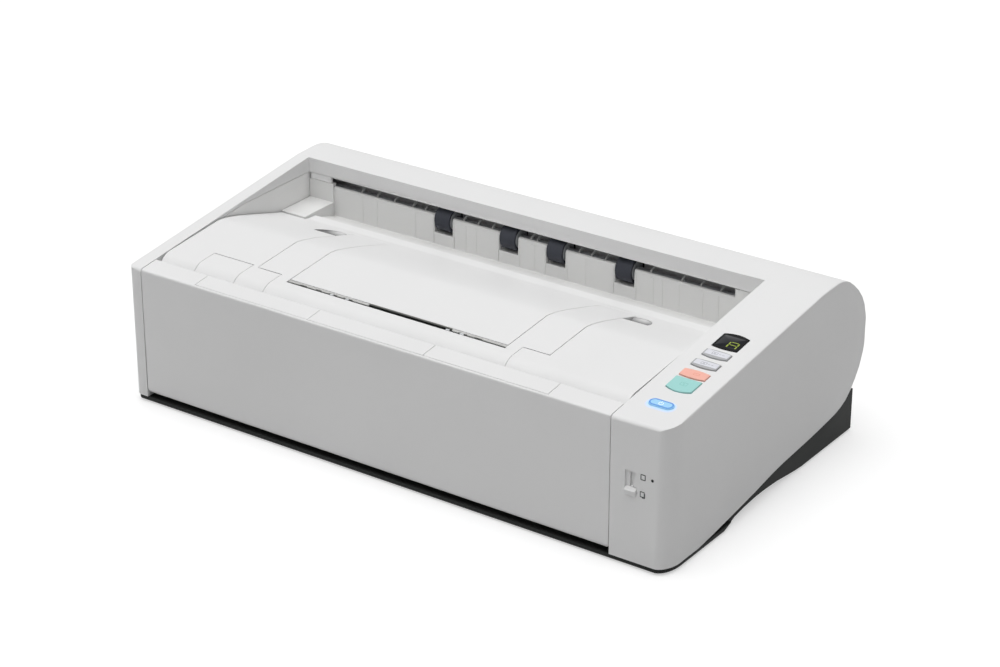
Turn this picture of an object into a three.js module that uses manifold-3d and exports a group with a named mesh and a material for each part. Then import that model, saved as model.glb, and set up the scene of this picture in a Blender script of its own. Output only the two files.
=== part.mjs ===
// Desktop document scanner: sheets go in at the open front tray, turn up at the back
// and come out through the slot under the rear rim onto the sloping top.
// Millimetres, +Z up. Inside the group y = 0 is the front face and z = 0 the desk,
// and the group is moved by half the depth, so the origin is the middle of the footprint.
import * as THREE from 'three';
import { mergeVertices } from 'three/addons/utils/BufferGeometryUtils.js';
import Module from 'manifold-3d';

// Gaps and the overrun that every cut shares
const fitGap = 0.3;
const seamGap = 0.5;
const unitGap = 1.1;
const armGap = 0.5;
const leverGap = 0.7;
const lipSeam = 0.15;
const overrun = 3;
const roundSteps = 5;
const latheSteps = 18;
const boreSteps = 16;
const wheelSteps = 28;
const seamSteps = 48;
const sweepSteps = 96;
const quarterTurn = 90;
const halfTurn = 180;

// Casing
const caseWidth = 424;
const caseDepth = 244;
const caseHeight = 121;
const caseHem = 4.6;
const caseWall = 2.5;
const caseRound = 3;
const edgeRound = 0.8;
const frontDrop = 22;
const rimDrop = 0.55;
const rimDepth = 64.3;
const rimFace = 11.15;
const skirtWall = 2.2;
const partingStep = 0.2;
const returnDepth = 22;
const leftRail = 10.8;
const rightPanel = 41.8;
const backSteps = 22;
const backShares = [[0.787, 0.999], [0.828, 1], [0.867, 0.984], [0.897, 0.952], [0.941, 0.882],
  [0.975, 0.797], [0.991, 0.712], [1, 0.625], [0.998, 0.535], [0.979, 0.417],
  [0.948, 0.327], [0.909, 0.254], [0.868, 0.219], [0.834, 0.205]];
const underShares = [[0.765, 0.188], [0.7074, 0.176], [0.5697, 0.154], [0.5135, 0.14], [0.4258, 0.1095],
  [0.3123, 0.0777], [0.2119, 0.0512], [0.15, 0.038]];
const cornerLeft = 5;
const cornerRightX = 10;
const cornerRightY = 18;
const cornerRear = 2.2;

// Rim tab over the left end of the slot
const tabStart = 1.7;
const tabLength = 18;
const tabDrop = 4.3;

// Black pan under the casing
const footHeight = 1.2;
const footRadius = 9;
const footInset = 27;
const footFrontY = 25;
const footRearInset = 29;
const panInset = 3.8;
const panWall = 2.5;
const panFrontY = 0.8;
const panRearInset = 6.5;
const panLedgeShare = 0.256;
const panLap = 6;
const archStartShare = 0.336;
const archLengthShare = 0.365;
const archHeight = 4.2;
const archShares = [[0, 0], [0.057, 0.405], [0.175, 0.74], [0.326, 0.976], [0.404, 1], [0.48, 0.976],
  [0.635, 0.81], [0.794, 0.405], [0.91, 0.143], [1, 0]];
const skirtInset = 1;
const skirtEndShare = 0.283;
const skirtToeShare = 0.32;
const postRadius = 3;

// Inner side frames
const frameWall = 3;
const frameFoot = 12;
const frameHeadroom = 5;
const frameBackShares = [[0.82, 0.1], [0.826, 0.245], [0.873, 0.28], [0.918, 0.34], [0.938, 0.5],
  [0.938, 0.785], [0.9, 0.89], [0.82, 0.955]];

// Sheet path
const pathFloor = 38;
const pathGap = 2.3;
const plateWall = 2.5;
const turnSetback = 7.3;
const roofLift = 0.4;
const turnEndAngle = 80;
const nipStand = 1.1;

const mouthDrop = 7;
const mouthWall = 3;
const mouthRun = 7.9;

// Front unit
const hingeY = 8;
const hingeZ = 14;
const hingeRadius = 2;
const knuckleRadius = 4.6;
const noseRadius = 14;
const noseSetback = 0.8;
const noseDrop = 10.3;
const crestShare = 0.3891;
const crestRise = 18.5;
const troughLength = 22.5;
const unitLift = 8.4;
const slopeShares = [[0.089, 0.0426], [0.2497, 0.1915], [0.4471, 0.4255], [0.7146, 0.7606], [0.815, 0.888],
  [0.8688, 0.952], [0.895, 0.972], [1, 1]];
const skinDepth = 5.5;
const noseTuck = 20;
const shelfLength = 11.5;
const shelfWidth = 21.2;
const shelfRise = 10.7;
const unitWall = 3;
const unitFrontDrop = 16;
const apronSetback = 1.8;
const apronShare = 0.644;
const armHeel = 24;

// U-shaped eject support
const supportShift = -1;
const armMargin = 69.7;
const armWidth = 29;
const barInset = 20;
const barShell = 2.4;
const barTail = 3;
const slotWidth = 4.2;
const armThick = 2.6;
const armSetback = 10.5;
const armTipMargin = 15.5;
const supportBore = 3.4;
const hubRadius = 6.5;
const webWall = 3;
const dimpleReach = 17;
const dimpleWidth = 12;
const dimpleShift = 7.5;
const dimpleDepth = 3.2;
const dimpleMargin = 21;

// Open lever and its latch shaft
const leverMargin = 30.2;
const leverWidth = 33.4;
const latchRadius = 3;
const hookWall = 2.5;
const hookStand = 5.2;
const hookLean = 12;
const hookBreadth = 7;

// Feed tray, which is the front cover
const trayDepth = 15.2;
const trayFloor = 7.4;
const trayWall = 2.5;
const trayCorner = 4;
const trayHeel = 4;
const trayRound = 2;
const beamTop = 21;
const notchTop = 27;
const notchWidth = 8;
const lipDrop = 5.5;
const lipFrontWall = 1.7;
const capMargin = 46.4;
const endCapHalf = 45.5;
const extensionThick = 5.3;
const extensionInset = 5;
const extensionBase = 26;
const endPlateThick = 2.6;
const endPlateInset = 3.3;
const endPlateBase = 34;
const ribWidth = 5;
const plateThick = 2.6;

// Paper guides on the tray
const guideInset = 2.8;
const guideNarrow = 36.5;
const fenceWall = 2.5;
const fenceReach = 7.5;
const fenceBase = 24;
const fenceDrop = 4;
const guideFoot = 20;
const guideFootWall = 1.7;
const stemWidth = 6;
const stemInset = 10;
const rackHeight = 3.2;
const rackDepth = 2.2;
const rackPast = 17;
const pinionRadius = 4.7;
const pinionZ = 40;
const pinionPin = 1.5;

// Rollers and shafts
const shaftRadius = 3;
const pinchShaft = 2;
const feedY = 44;
const feedRadius = 11.1;
const tyreWall = 2.3;
const feedWidth = 34;
const retardRadius = 10.3;
const retardShaft = 2.5;
const frontDriveShare = 0.325;
const rearDriveSetback = 39;
const driveRadius = 7;
const pinchRadius = 6;
const driveCollar = 14;
const exitSetback = 6.5;
const exitRadius = 9;
const exitTyreWidth = 12.4;
const exitPinchRadius = 4;
const exitShift = 5.3;
const exitOffsets = [-74.1, -19.3, 19.3, 74.1];
const windowRoom = 1.6;

// Exit guide
const slotHeight = 6.8;
const wallSetback = 1.3;
const troughDepth = 22.5;
const wallThick = 2.4;
const channelDepth = 12.5;
const channelWidth = 9.6;
const troughRound = 1.2;
const floorFall = 0.306;
const stripWidth = 1;
const stripStand = 0.5;
const postStand = 1.2;
const finWall = 1.2;
const finHeight = 2;
const finPitch = 14;
const finReach = 10;

// Belt drive in the bay right of the frame
const pulleyStart = 5.6;
const pulleyWidth = 7;
const pulleyRadius = 7.7;
const smallPulley = 5.7;
const beltThick = 1.6;
const beltWidth = 6;
const trackStep = 9;
const motorShare = 0.65;
const motorZ = 26;
const motorSide = 28;
const motorLength = 19;
const motorShaft = 2;
const gearWidth = 5;
const gearPitch = 9;
const gearTeeth = 16;
const toothHeight = 1.1;
const rootDepth = 1.5;
const toothRootShare = 0.27;
const toothTipShare = 0.1;
const jackTurn = -50;

// Line sensors
const sensorMargin = 28.7;
const sensorWidth = 15.2;
const sensorHeight = 15;
const glassThick = 2.3;
const glassInset = 2;
const lowerSensorShare = 0.127;
const upperSensorShare = 0.633;

// Boards and sockets
const boardThick = 1.6;
const boardZ = 13;
const mainInset = 52;
const mainWidth = 220;
const mainStand = 9.4;
const mainLength = 78;
const chipSide = 24;
const chipShares = [0.15, 0.45, 0.8];
const chipHeight = 3;
const inletInset = 59;
const inletSide = 12;
const inletBore = 3.2;
const inletPin = 1;
const portPitch = 25;
const portWidth = 13;
const portHoleWidth = 8.6;
const portHoleHeight = 7.9;
const socketDepth = 14;
const socketHole = 9;
const tongueLength = 4;

// Operation panel, measured along the sloping top
const keyWidth = 18;
const keyStand = 0.9;
const keyTravel = 0.8;
const keyFlange = 0.6;
const keyFlangeThick = 1.2;
const keyRound = 1;
const keySteps = 10;
const displayBows = [1, 2.1];
const greyBows = [1.4, 0.8];
const stopBows = [1.1, 0.9];
const startBows = [2.6, 0];
const displayV = 104.8;
const displayLength = 15.7;
const greyRearV = 88.3;
const greyFrontV = 75.3;
const greyLength = 6.4;
const stopV = 62.2;
const stopLength = 7;
const startV = 49.8;
const startLength = 12.6;
const powerV = 24.4;
const powerLength = 7.6;
const powerWidth = 17;
const panelShift = 0.9;
const panelBoardHalf = 13;
const panelBoardStart = 16;
const panelBoardEnd = 118;
const panelPost = 1.6;
const panelPostU = 10.5;
const panelPostNearV = 35;
const panelPostFarV = 115.5;

// Feed switch in the right front wall
const switchMargin = 10.5;
const switchWidth = 8.5;
const switchDrop = 47.5;
const switchLength = 14.7;
const switchSink = 1.5;
const knobHeight = 3.3;
const knobStand = 2;
const knobRidge = 1.3;
const knobDrop = 2;
const stemSlot = 2.7;
const stemHeight = 2.4;
const knobFlange = 1.4;

// Values that follow from the ones above: widths
const bayLeft = -caseWidth / 2 + leftRail;
const bayRight = caseWidth / 2 - rightPanel;
const bayHalf = (bayRight - bayLeft) / 2;
const trayMid = (bayLeft + bayRight) / 2;
const panelX = caseWidth / 2 - rightPanel / 2 - panelShift;
const unitLeft = bayLeft + unitGap;
const unitRight = bayRight - unitGap;
const trayLeft = bayLeft + seamGap;
const trayRight = bayRight - seamGap;
const guideLeft = bayLeft + fitGap;
const guideRight = bayRight - fitGap;
const supportMid = trayMid + supportShift;
const armOuter = bayHalf - armMargin;
const armInner = armOuter - armWidth;
const supportHalf = armOuter - barInset;
const leverLeft = bayLeft + leverMargin;
const capHalf = bayHalf - capMargin;
const guideHalf = capHalf - guideInset;
const guideTravel = guideHalf - guideNarrow;
const sensorHalf = bayHalf - sensorMargin;
const mainLeft = -caseWidth / 2 + mainInset;
const inletX = -caseWidth / 2 + inletInset;
const portX = inletX + portPitch;
const switchLeft = bayRight + switchMargin;
const frameLeft = bayLeft - fitGap / 2;
const frameRight = bayRight + fitGap / 2;
const pulleyX = frameRight + pulleyStart;
const trackX = pulleyX + trackStep;
const gearX = trackX + pulleyWidth;
const motorX = trackX + fitGap;
const shaftLeft = frameLeft - frameWall - seamGap;
const exitXs = exitOffsets.map((offset) => trayMid + exitShift + offset);

// Depths, from the front face back
const rimFrontY = caseDepth - rimDepth;
const footRearY = caseDepth - footRearInset;
const panRearY = caseDepth - panRearInset;
const wallY = rimFrontY + wallSetback;
const turnY = rimFrontY + turnSetback;
const exitAxisY = wallY + exitSetback;
const rearDriveY = turnY - rearDriveSetback;
const unitRearY = wallY - troughLength;
const shelfFrontY = unitRearY - shelfLength;
const apronY = trayDepth + apronSetback;
const noseY = trayDepth + noseSetback + noseRadius;
const barTailY = noseY + barTail;
const armFrontY = noseY + armSetback;
const armRearY = unitRearY - armTipMargin;
const dimpleY = armRearY - dimpleMargin;
const crestY = noseY + crestShare * (unitRearY - noseY);
const archStartY = caseDepth * archStartShare;
const archLength = caseDepth * archLengthShare;
const pathRun = rearDriveY - feedY;
const frontDriveY = feedY + frontDriveShare * pathRun;
const motorY = feedY + motorShare * pathRun;
const sensorStart = frontDriveY + driveRadius + windowRoom + sensorWidth / 2;
const sensorRoom = rearDriveY - driveRadius - windowRoom - sensorWidth / 2 - sensorStart;
const lowerSensorY = sensorStart + lowerSensorShare * sensorRoom;
const upperSensorY = sensorStart + upperSensorShare * sensorRoom;
const mainFrontY = lowerSensorY + sensorWidth / 2 + mainStand;

// Heights above the desk
const frontHeight = caseHeight - frontDrop;
const rimHeight = caseHeight - rimDrop;
const rimLip = rimHeight - rimFace;
const sideParting = rimLip + partingStep;
const tabLip = rimLip - tabDrop;
const wallTop = rimLip - slotHeight;
const floorZ = wallTop - troughDepth;
const channelFloor = wallTop - channelDepth;
const shelfHeight = floorZ + shelfRise;
const noseZ = frontHeight - noseDrop;
const crestZ = noseZ + crestRise;
const unitRearZ = floorZ + unitLift;
const unitFrontTop = noseZ - unitFrontDrop;
const switchBase = frontHeight - switchDrop;
const frameTop = caseHeight - frameHeadroom;
const panBase = footHeight + fitGap;
const panLedge = caseHeight * panLedgeShare;
const socketBase = panBase + panWall + fitGap;
const pathRoof = pathFloor + pathGap;
const apronBase = pathRoof + apronShare * (unitFrontTop - pathRoof);
const rackTop = pinionZ + pinionRadius + rackHeight + 2 * fitGap;
const fenceTop = Math.max(apronBase - fenceDrop, rackTop);
const mouthBase = pathFloor - mouthDrop;
const topSlope = (rimHeight - frontHeight) / rimFrontY;
const panelTilt = Math.atan(topSlope);
const panelBoardTop = -caseWall - keyFlangeThick - keyTravel - keyRound / 2 - 2 * fitGap;
const skirtFrontY = (sideParting - frontHeight + caseWall / 2) / topSlope;

// Roller heights: the lower ones stand a little above the path's floor, the upper ones just clear them
const exitRoof = rimLip + roofLift;
const turnOuter = (exitRoof - pathFloor) / 2;
const turnInner = turnOuter - pathGap;
const turnZ = pathFloor + turnOuter;
const exitAxisZ = turnZ + turnInner + nipStand / 2 - exitRadius;
const exitPinchZ = exitAxisZ + exitRadius + fitGap + exitPinchRadius;
const nipLow = pathFloor + nipStand;
const nipHigh = nipLow + fitGap;
const feedZ = nipLow - feedRadius;
const retardZ = nipHigh + retardRadius;
const driveZ = nipLow - driveRadius;
const pinchZ = nipHigh + pinchRadius;
const jackAngle = THREE.MathUtils.degToRad(jackTurn);
const jackY = exitAxisY + 2 * gearPitch * Math.cos(jackAngle);
const jackZ = exitAxisZ + 2 * gearPitch * Math.sin(jackAngle);

const wasm = await Module();
wasm.setup();

// Materials: colour, roughness, metalness
const white = ['#e3e3e1', 0.5, 0];
const innerWhite = ['#d6d6d2', 0.6, 0];
const black = ['#232524', 0.55, 0];
const rubber = ['#31343c', 0.85, 0];
const steel = ['#b4b6b8', 0.3, 0.9];
const dark = ['#3a3c3e', 0.6, 0];
const glass = ['#9fb0b4', 0.1, 0];
const boardGreen = ['#2f6b45', 0.6, 0];
const nylon = ['#c9c7bd', 0.55, 0];
const silverKey = ['#b9babb', 0.35, 0.2];
const salmon = ['#f09a86', 0.45, 0];
const mint = ['#86d6c3', 0.45, 0];
const blue = ['#5fa5ea', 0.3, 0];
const displayBlack = ['#17181a', 0.12, 0];

const scanner = new THREE.Group();
scanner.position.set(0, -caseDepth / 2, 0);

// Height of the sloping casing top above a point y behind the front face
function topAt(y) {
  return frontHeight + topSlope * y;
}

// Closed mesh to solid: like corners merged, collapsed triangles dropped, faces turned outwards
function solid(geometry) {
  const bare = new THREE.BufferGeometry();
  bare.setAttribute('position', geometry.getAttribute('position'));
  bare.setIndex(geometry.index);
  const merged = mergeVertices(bare);
  const places = merged.getAttribute('position').array;
  const corners = merged.index.array;
  const kept = [];
  for (let i = 0; i < corners.length; i += 3) {
    const [a, b, c] = [corners[i], corners[i + 1], corners[i + 2]];
    if (a !== b && b !== c && c !== a) kept.push(a, b, c);
  }
  if (signedVolume(places, kept) < 0) kept.reverse();
  const mesh = new wasm.Mesh({
    numProp: 3,
    vertProperties: new Float32Array(places),
    triVerts: new Uint32Array(kept),
  });
  return new wasm.Manifold(mesh);
}

// Six times the volume that the triangles enclose, negative when they face inwards
function signedVolume(places, corners) {
  const [a, b, c] = [new THREE.Vector3(), new THREE.Vector3(), new THREE.Vector3()];
  let sum = 0;
  for (let i = 0; i < corners.length; i += 3) {
    a.fromArray(places, corners[i] * 3);
    b.fromArray(places, corners[i + 1] * 3);
    c.fromArray(places, corners[i + 2] * 3);
    sum += a.dot(b.cross(c));
  }
  return sum;
}

// Adds a named mesh of a finished solid to a group
function addPart(name, body, look, group = scanner) {
  const data = body.getMesh();
  const geometry = new THREE.BufferGeometry();
  geometry.setAttribute('position', new THREE.BufferAttribute(new Float32Array(data.vertProperties), 3));
  geometry.setIndex(new THREE.BufferAttribute(new Uint32Array(data.triVerts), 1));
  const [color, roughness, metalness] = look;
  const mesh = new THREE.Mesh(geometry, new THREE.MeshStandardMaterial({ color, roughness, metalness }));
  mesh.name = name;
  group.add(mesh);
  return mesh;
}

function joinAll(bodies) {
  return bodies.reduce((whole, body) => whole.add(body));
}

function shapeOf(points) {
  return new THREE.Shape(points.map(([a, b]) => new THREE.Vector2(a, b)));
}

// A section in (y, z) carried along x; the two below carry a plan up z and a front view along y
function alongX(shape, start, end, bevel = 0) {
  const geometry = new THREE.ExtrudeGeometry(shape, {
    depth: end - start - 2 * bevel,
    bevelEnabled: bevel > 0,
    bevelThickness: bevel,
    bevelSize: bevel,
    bevelOffset: -bevel,
    bevelSegments: 3,
    curveSegments: roundSteps,
  });
  const turned = new THREE.Matrix4().set(0, 0, 1, start + bevel, 1, 0, 0, 0, 0, 1, 0, 0, 0, 0, 0, 1);
  geometry.applyMatrix4(turned);
  return solid(geometry);
}

function alongZ(shape, start, end) {
  const options = { depth: end - start, bevelEnabled: false, curveSegments: roundSteps };
  return solid(new THREE.ExtrudeGeometry(shape, options).translate(0, 0, start));
}

function alongY(shape, start, end) {
  const geometry = new THREE.ExtrudeGeometry(shape, {
    depth: end - start, bevelEnabled: false, curveSegments: roundSteps,
  });
  geometry.applyMatrix4(new THREE.Matrix4().set(1, 0, 0, 0, 0, 0, -1, end, 0, 1, 0, 0, 0, 0, 0, 1));
  return solid(geometry);
}

function box(x0, x1, y0, y1, z0, z1) {
  const block = new THREE.BoxGeometry(x1 - x0, y1 - y0, z1 - z0);
  return solid(block.translate((x0 + x1) / 2, (y0 + y1) / 2, (z0 + z1) / 2));
}

function rodX(y, z, radius, start, end, steps = 20) {
  const rod = new THREE.CylinderGeometry(radius, radius, end - start, steps);
  rod.rotateZ(-Math.PI / 2);
  return solid(rod.translate((start + end) / 2, y, z));
}

function rodY(x, z, radius, start, end, steps = 20) {
  const rod = new THREE.CylinderGeometry(radius, radius, end - start, steps);
  return solid(rod.translate(x, (start + end) / 2, z));
}

function rodZ(x, y, radius, start, end, steps = 14) {
  const rod = new THREE.CylinderGeometry(radius, radius, end - start, steps);
  rod.rotateX(Math.PI / 2);
  return solid(rod.translate(x, y, (start + end) / 2));
}

// A turned part along x: a shaft with collars, each [start, end, radius]
function spindle(y, z, start, end, radius, collars) {
  const profile = [[0, start], [radius, start]];
  for (const [from, to, size] of collars) {
    profile.push([radius, from], [size, from], [size, to], [radius, to]);
  }
  profile.push([radius, end], [0, end]);
  const lathe = new THREE.LatheGeometry(profile.map(([r, a]) => new THREE.Vector2(r, a)), latheSteps);
  lathe.rotateZ(-Math.PI / 2);
  return solid(lathe.translate(0, y, z));
}

// Bores along x through a wall, each [y, z, radius] with running clearance
function boresX(list, start, end) {
  return joinAll(list.map(([y, z, r]) => rodX(y, z, r + fitGap, start - overrun, end + overrun, boreSteps)));
}

// A ring along x
function ringX(y, z, inner, outer, start, end) {
  return rodX(y, z, outer, start, end, wheelSteps)
    .subtract(rodX(y, z, inner, start - overrun, end + overrun, wheelSteps));
}

// Points of an arc about (y, z), angles in degrees from +y towards +z
function arc(y, z, radius, from, to, steps) {
  const points = [];
  for (let i = 0; i <= steps; i += 1) {
    const angle = THREE.MathUtils.degToRad(from + (to - from) * (i / steps));
    points.push([y + radius * Math.cos(angle), z + radius * Math.sin(angle)]);
  }
  return points;
}

// A line of points moved square to itself, to its right-hand side
function inset(points, distance) {
  return points.map((point, i) => {
    const before = points[Math.max(i - 1, 0)];
    const after = points[Math.min(i + 1, points.length - 1)];
    const run = Math.hypot(after[0] - before[0], after[1] - before[1]);
    const side = [(after[1] - before[1]) / run, (before[0] - after[0]) / run];
    return [point[0] + side[0] * distance, point[1] + side[1] * distance];
  });
}

// Casing side view: front edge, sloping top, then the curved back down to its tucked end
function casingChain() {
  const lean = THREE.MathUtils.radToDeg(panelTilt);
  const top = topAt(caseRound) - caseRound;
  const edge = arc(caseRound, top, caseRound, halfTurn, quarterTurn + lean, roundSteps);
  const back = backShares.map(([y, z]) => new THREE.Vector2(y * caseDepth, z * caseHeight));
  const curve = new THREE.SplineCurve([new THREE.Vector2(rimFrontY, rimHeight), ...back]);
  const points = [[0, caseHem], ...edge];
  for (const spot of curve.getPoints(backSteps)) {
    points.push([Math.min(spot.x, caseDepth), Math.min(spot.y, caseHeight)]);
  }
  return points;
}

function casingOutline() {
  const under = underShares.map(([y, z]) => [y * caseDepth, z * caseHeight]);
  return shapeOf([...casingChain(), ...under]);
}

// Room inside the casing: the chain moved in by the wall, and open below
function casingRoom() {
  const inner = inset(casingChain(), caseWall);
  const tail = inner[inner.length - 1];
  return shapeOf([[caseWall, -overrun], ...inner, [tail[0], -overrun]]);
}

// Plan of the casing with its four rounded corners, moved in by a distance and from the front by another
function planOutline(distance, front = distance) {
  const half = caseWidth / 2 - distance;
  const rear = caseDepth - distance;
  const left = Math.max(cornerLeft - distance, fitGap);
  const rightX = Math.max(cornerRightX - distance, fitGap);
  const rightY = Math.max(cornerRightY - distance, fitGap);
  const back = Math.max(cornerRear - distance, fitGap);
  const plan = new THREE.Shape();
  plan.moveTo(-half + left, front);
  plan.lineTo(half - rightX, front);
  plan.absellipse(half - rightX, front + rightY, rightX, rightY, -Math.PI / 2, 0, false, 0);
  plan.lineTo(half, rear - back);
  plan.absarc(half - back, rear - back, back, 0, Math.PI / 2, false);
  plan.lineTo(-half + back, rear);
  plan.absarc(-half + back, rear - back, back, Math.PI / 2, Math.PI, false);
  plan.lineTo(-half, front + left);
  plan.absarc(-half + left, front + left, left, Math.PI, Math.PI * 1.5, false);
  return plan;
}

// Keys of the panel: place along the slope, length, width, look, how far each stands up
function panelKeys() {
  const wide = { width: keyWidth, stand: keyStand };
  const grey = { length: greyLength, bows: greyBows, look: silverKey, ...wide };
  return [
    { name: 'display', v: displayV, length: displayLength, bows: displayBows, look: displayBlack, ...wide,
      stand: fitGap },
    { name: 'grey_button_rear', v: greyRearV, ...grey },
    { name: 'grey_button_front', v: greyFrontV, ...grey },
    { name: 'stop_button', v: stopV, length: stopLength, bows: stopBows, look: salmon, ...wide },
    { name: 'start_button', v: startV, length: startLength, bows: startBows, look: mint, ...wide },
    { name: 'power_button', v: powerV, length: powerLength, look: blue, ...wide, width: powerWidth },
  ];
}

// Outline of a key about its middle, its front and rear edges bowed; the power key has round ends
function keyOutline(key, grow) {
  const half = key.width / 2 + grow;
  const reach = key.length / 2 + grow;
  const outline = new THREE.Shape();
  if (!key.bows) {
    outline.moveTo(reach - half, -reach);
    outline.absarc(half - reach, 0, reach, -Math.PI / 2, Math.PI / 2, false);
    outline.absarc(reach - half, 0, reach, Math.PI / 2, Math.PI * 1.5, false);
    return outline;
  }
  const [frontBow, rearBow] = key.bows;
  outline.moveTo(-half, -reach);
  outline.quadraticCurveTo(0, -reach - 2 * frontBow, half, -reach);
  outline.lineTo(half, reach);
  outline.quadraticCurveTo(0, reach + 2 * rearBow, -half, reach);
  return outline;
}

// A slab of a key outline in the panel's own frame, from one depth to another
function keySlab(key, grow, from, to, bevel = 0) {
  const geometry = new THREE.ExtrudeGeometry(keyOutline(key, grow), {
    depth: to - from - bevel,
    bevelEnabled: bevel > 0,
    bevelThickness: bevel,
    bevelSize: bevel,
    bevelOffset: -bevel,
    bevelSegments: 2,
    curveSegments: keySteps,
  });
  return solid(geometry.translate(0, key.v, from));
}

// From the panel's own frame, u across, v along the slope and w up, to the scanner's
function onPanel(body) {
  const frame = new THREE.Matrix4().makeRotationX(panelTilt).setPosition(panelX, 0, frontHeight);
  return body.transform(frame.elements);
}

function panelPosts() {
  const places = [panelPostNearV, panelPostFarV].flatMap((v) => [[-panelPostU, v], [panelPostU, v]]);
  const foot = panelBoardTop + fitGap;
  return onPanel(joinAll(places.map(([u, v]) => rodZ(u, v, panelPost, foot, -caseWall / 2))));
}

// White casing with rails, panel, rim and curved back, open below and at the front
function outerCasing() {
  const height = caseHeight + overrun;
  const outer = alongX(casingOutline(), -caseWidth / 2, caseWidth / 2, edgeRound)
    .intersect(alongZ(planOutline(0), -overrun, height));
  const room = alongX(casingRoom(), -caseWidth / 2 + caseWall, caseWidth / 2 - caseWall)
    .intersect(alongZ(planOutline(caseWall), -2 * overrun, height));
  const rimBack = rimFrontY + skirtWall;
  const walls = [
    box(bayLeft - skirtWall, bayLeft, skirtFrontY, rimBack, sideParting, height),
    box(bayRight, bayRight + skirtWall, skirtFrontY, rimBack, sideParting, height),
    box(bayLeft - skirtWall, bayRight + skirtWall, rimFrontY, rimBack, rimLip, height),
    box(bayLeft + tabStart, bayLeft + tabStart + tabLength, rimFrontY, rimBack, tabLip, height),
    box(bayLeft - skirtWall, bayLeft, 0, returnDepth, caseHem, height),
    box(bayRight, bayRight + skirtWall, 0, returnDepth, caseHem, height),
  ];
  let casing = outer.subtract(room)
    .subtract(box(bayLeft, bayRight, -overrun, rimFrontY, -overrun, height))
    .add(joinAll(walls).intersect(outer))
    .add(panelPosts());
  for (const key of panelKeys()) {
    casing = casing.subtract(onPanel(keySlab(key, fitGap, -caseWall - overrun / 3, overrun)));
  }
  const switchRight = switchLeft + switchWidth;
  const switchTop = switchBase + switchLength;
  const middle = (switchLeft + switchRight) / 2;
  return casing
    .subtract(box(switchLeft, switchRight, -overrun, switchSink, switchBase, switchTop))
    .subtract(box(middle - stemSlot / 2, middle + stemSlot / 2, 0, caseWall + overrun,
      switchBase + switchSink, switchTop - switchSink))
    .subtract(rodX(hingeY, hingeZ, hingeRadius + fitGap, bayLeft - overrun, bayRight + overrun));
}

// Lower outline of the pan: flat foot, arch, flat foot
function panUnder(lift) {
  const arch = archShares.map(([y, z]) => [archStartY + y * archLength, panBase + z * archHeight + lift]);
  return [[panFrontY, panBase + lift], ...arch, [panRearY, panBase + lift]];
}

// Black pan: floor, front skirt, side walls that lap inside the casing and a closed ledge at the rear
function basePan() {
  const half = caseWidth / 2 - panInset;
  const tuck = casingChain().slice(-5).reverse();
  const lap = [...underShares].reverse().map(([y, z]) => [y * caseDepth, z * caseHeight + panLap]);
  const lapEnd = tuck[0][0] - seamGap;
  const lapFoot = lap[0][1];
  const lapTop = lap[lap.length - 1][1] + seamGap;
  const ledge = tuck.filter(([y, z]) => z < panLedge).map(([y, z]) => [y + seamGap, z - seamGap]);
  const [ledgeEnd, ledgeTop] = ledge[ledge.length - 1];
  const ledgeFront = ledgeEnd + panWall;
  const roomFront = panFrontY + panWall;
  const roomRear = panRearY - panWall;
  const frontTop = caseHem - fitGap;
  const outer = shapeOf([...panUnder(0), [panRearY, panLedge], [ledgeFront, panLedge], ...ledge.reverse(),
    [lapEnd, ledge[ledge.length - 1][1]], [lapEnd, lapTop], ...lap.reverse(),
    [roomFront, lapFoot], [roomFront, frontTop], [panFrontY, frontTop]]);
  const floorTop = panBase + panWall;
  const inside = panLedge - panWall;
  const room = shapeOf([[roomFront, floorTop], ...panUnder(panWall).slice(1, -1), [roomRear, floorTop],
    [roomRear, inside], [ledgeFront, inside], [lapEnd, ledge[ledge.length - 1][1] - panWall],
    [lapEnd, caseHeight], [roomFront, caseHeight]]);
  const below = shapeOf([...panUnder(0), [panRearY, caseHeight], [panFrontY, caseHeight]]);
  const skirt = shapeOf([[panFrontY, panBase], [caseDepth * skirtEndShare, panBase],
    [caseDepth * skirtToeShare, frontTop], [panFrontY, frontTop]]);
  const wide = caseWidth / 2 - skirtInset;
  return alongX(outer, -half, half)
    .intersect(alongZ(planOutline(panInset), -overrun, 2 * caseHeight))
    .add(alongX(skirt, -wide, wide).intersect(alongZ(planOutline(skirtInset, panFrontY), 0, caseHeight)))
    .subtract(alongX(room, -half + panWall, half - panWall))
    .add(joinAll(panFixtures()).intersect(alongX(below, -half, half)))
    .subtract(socketWindows());
}

// Rails, posts and the motor's pad that stand on the pan's floor
function panFixtures() {
  const base = panBase + panWall / 2;
  const railFront = returnDepth + panWall;
  const railRear = caseDepth * frameBackShares[0][0] - panWall;
  const railTop = frameFoot - fitGap;
  const sensorFoot = pathFloor - glassThick - fitGap / 2 - sensorHeight - fitGap;
  const reach = motorSide / 2;
  const postXs = [mainLeft + chipSide / 2, mainLeft + mainWidth - chipSide / 2];
  const postYs = [mainFrontY + chipSide / 2, mainFrontY + mainLength - chipSide / 2];
  return [
    box(frameLeft - frameWall, frameLeft, railFront, railRear, base, railTop),
    box(frameRight, frameRight + frameWall, railFront, railRear, base, railTop),
    box(motorX, motorX + motorLength, motorY - reach, motorY + reach, base, motorZ - reach - fitGap),
    ...postXs.flatMap((x) => postYs.map((y) => rodZ(x, y, postRadius, base, boardZ - fitGap))),
    rodZ(trayMid - sensorHalf / 2, lowerSensorY, postRadius, base, sensorFoot),
    rodZ(trayMid + sensorHalf / 2, lowerSensorY, postRadius, base, sensorFoot),
  ];
}

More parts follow.
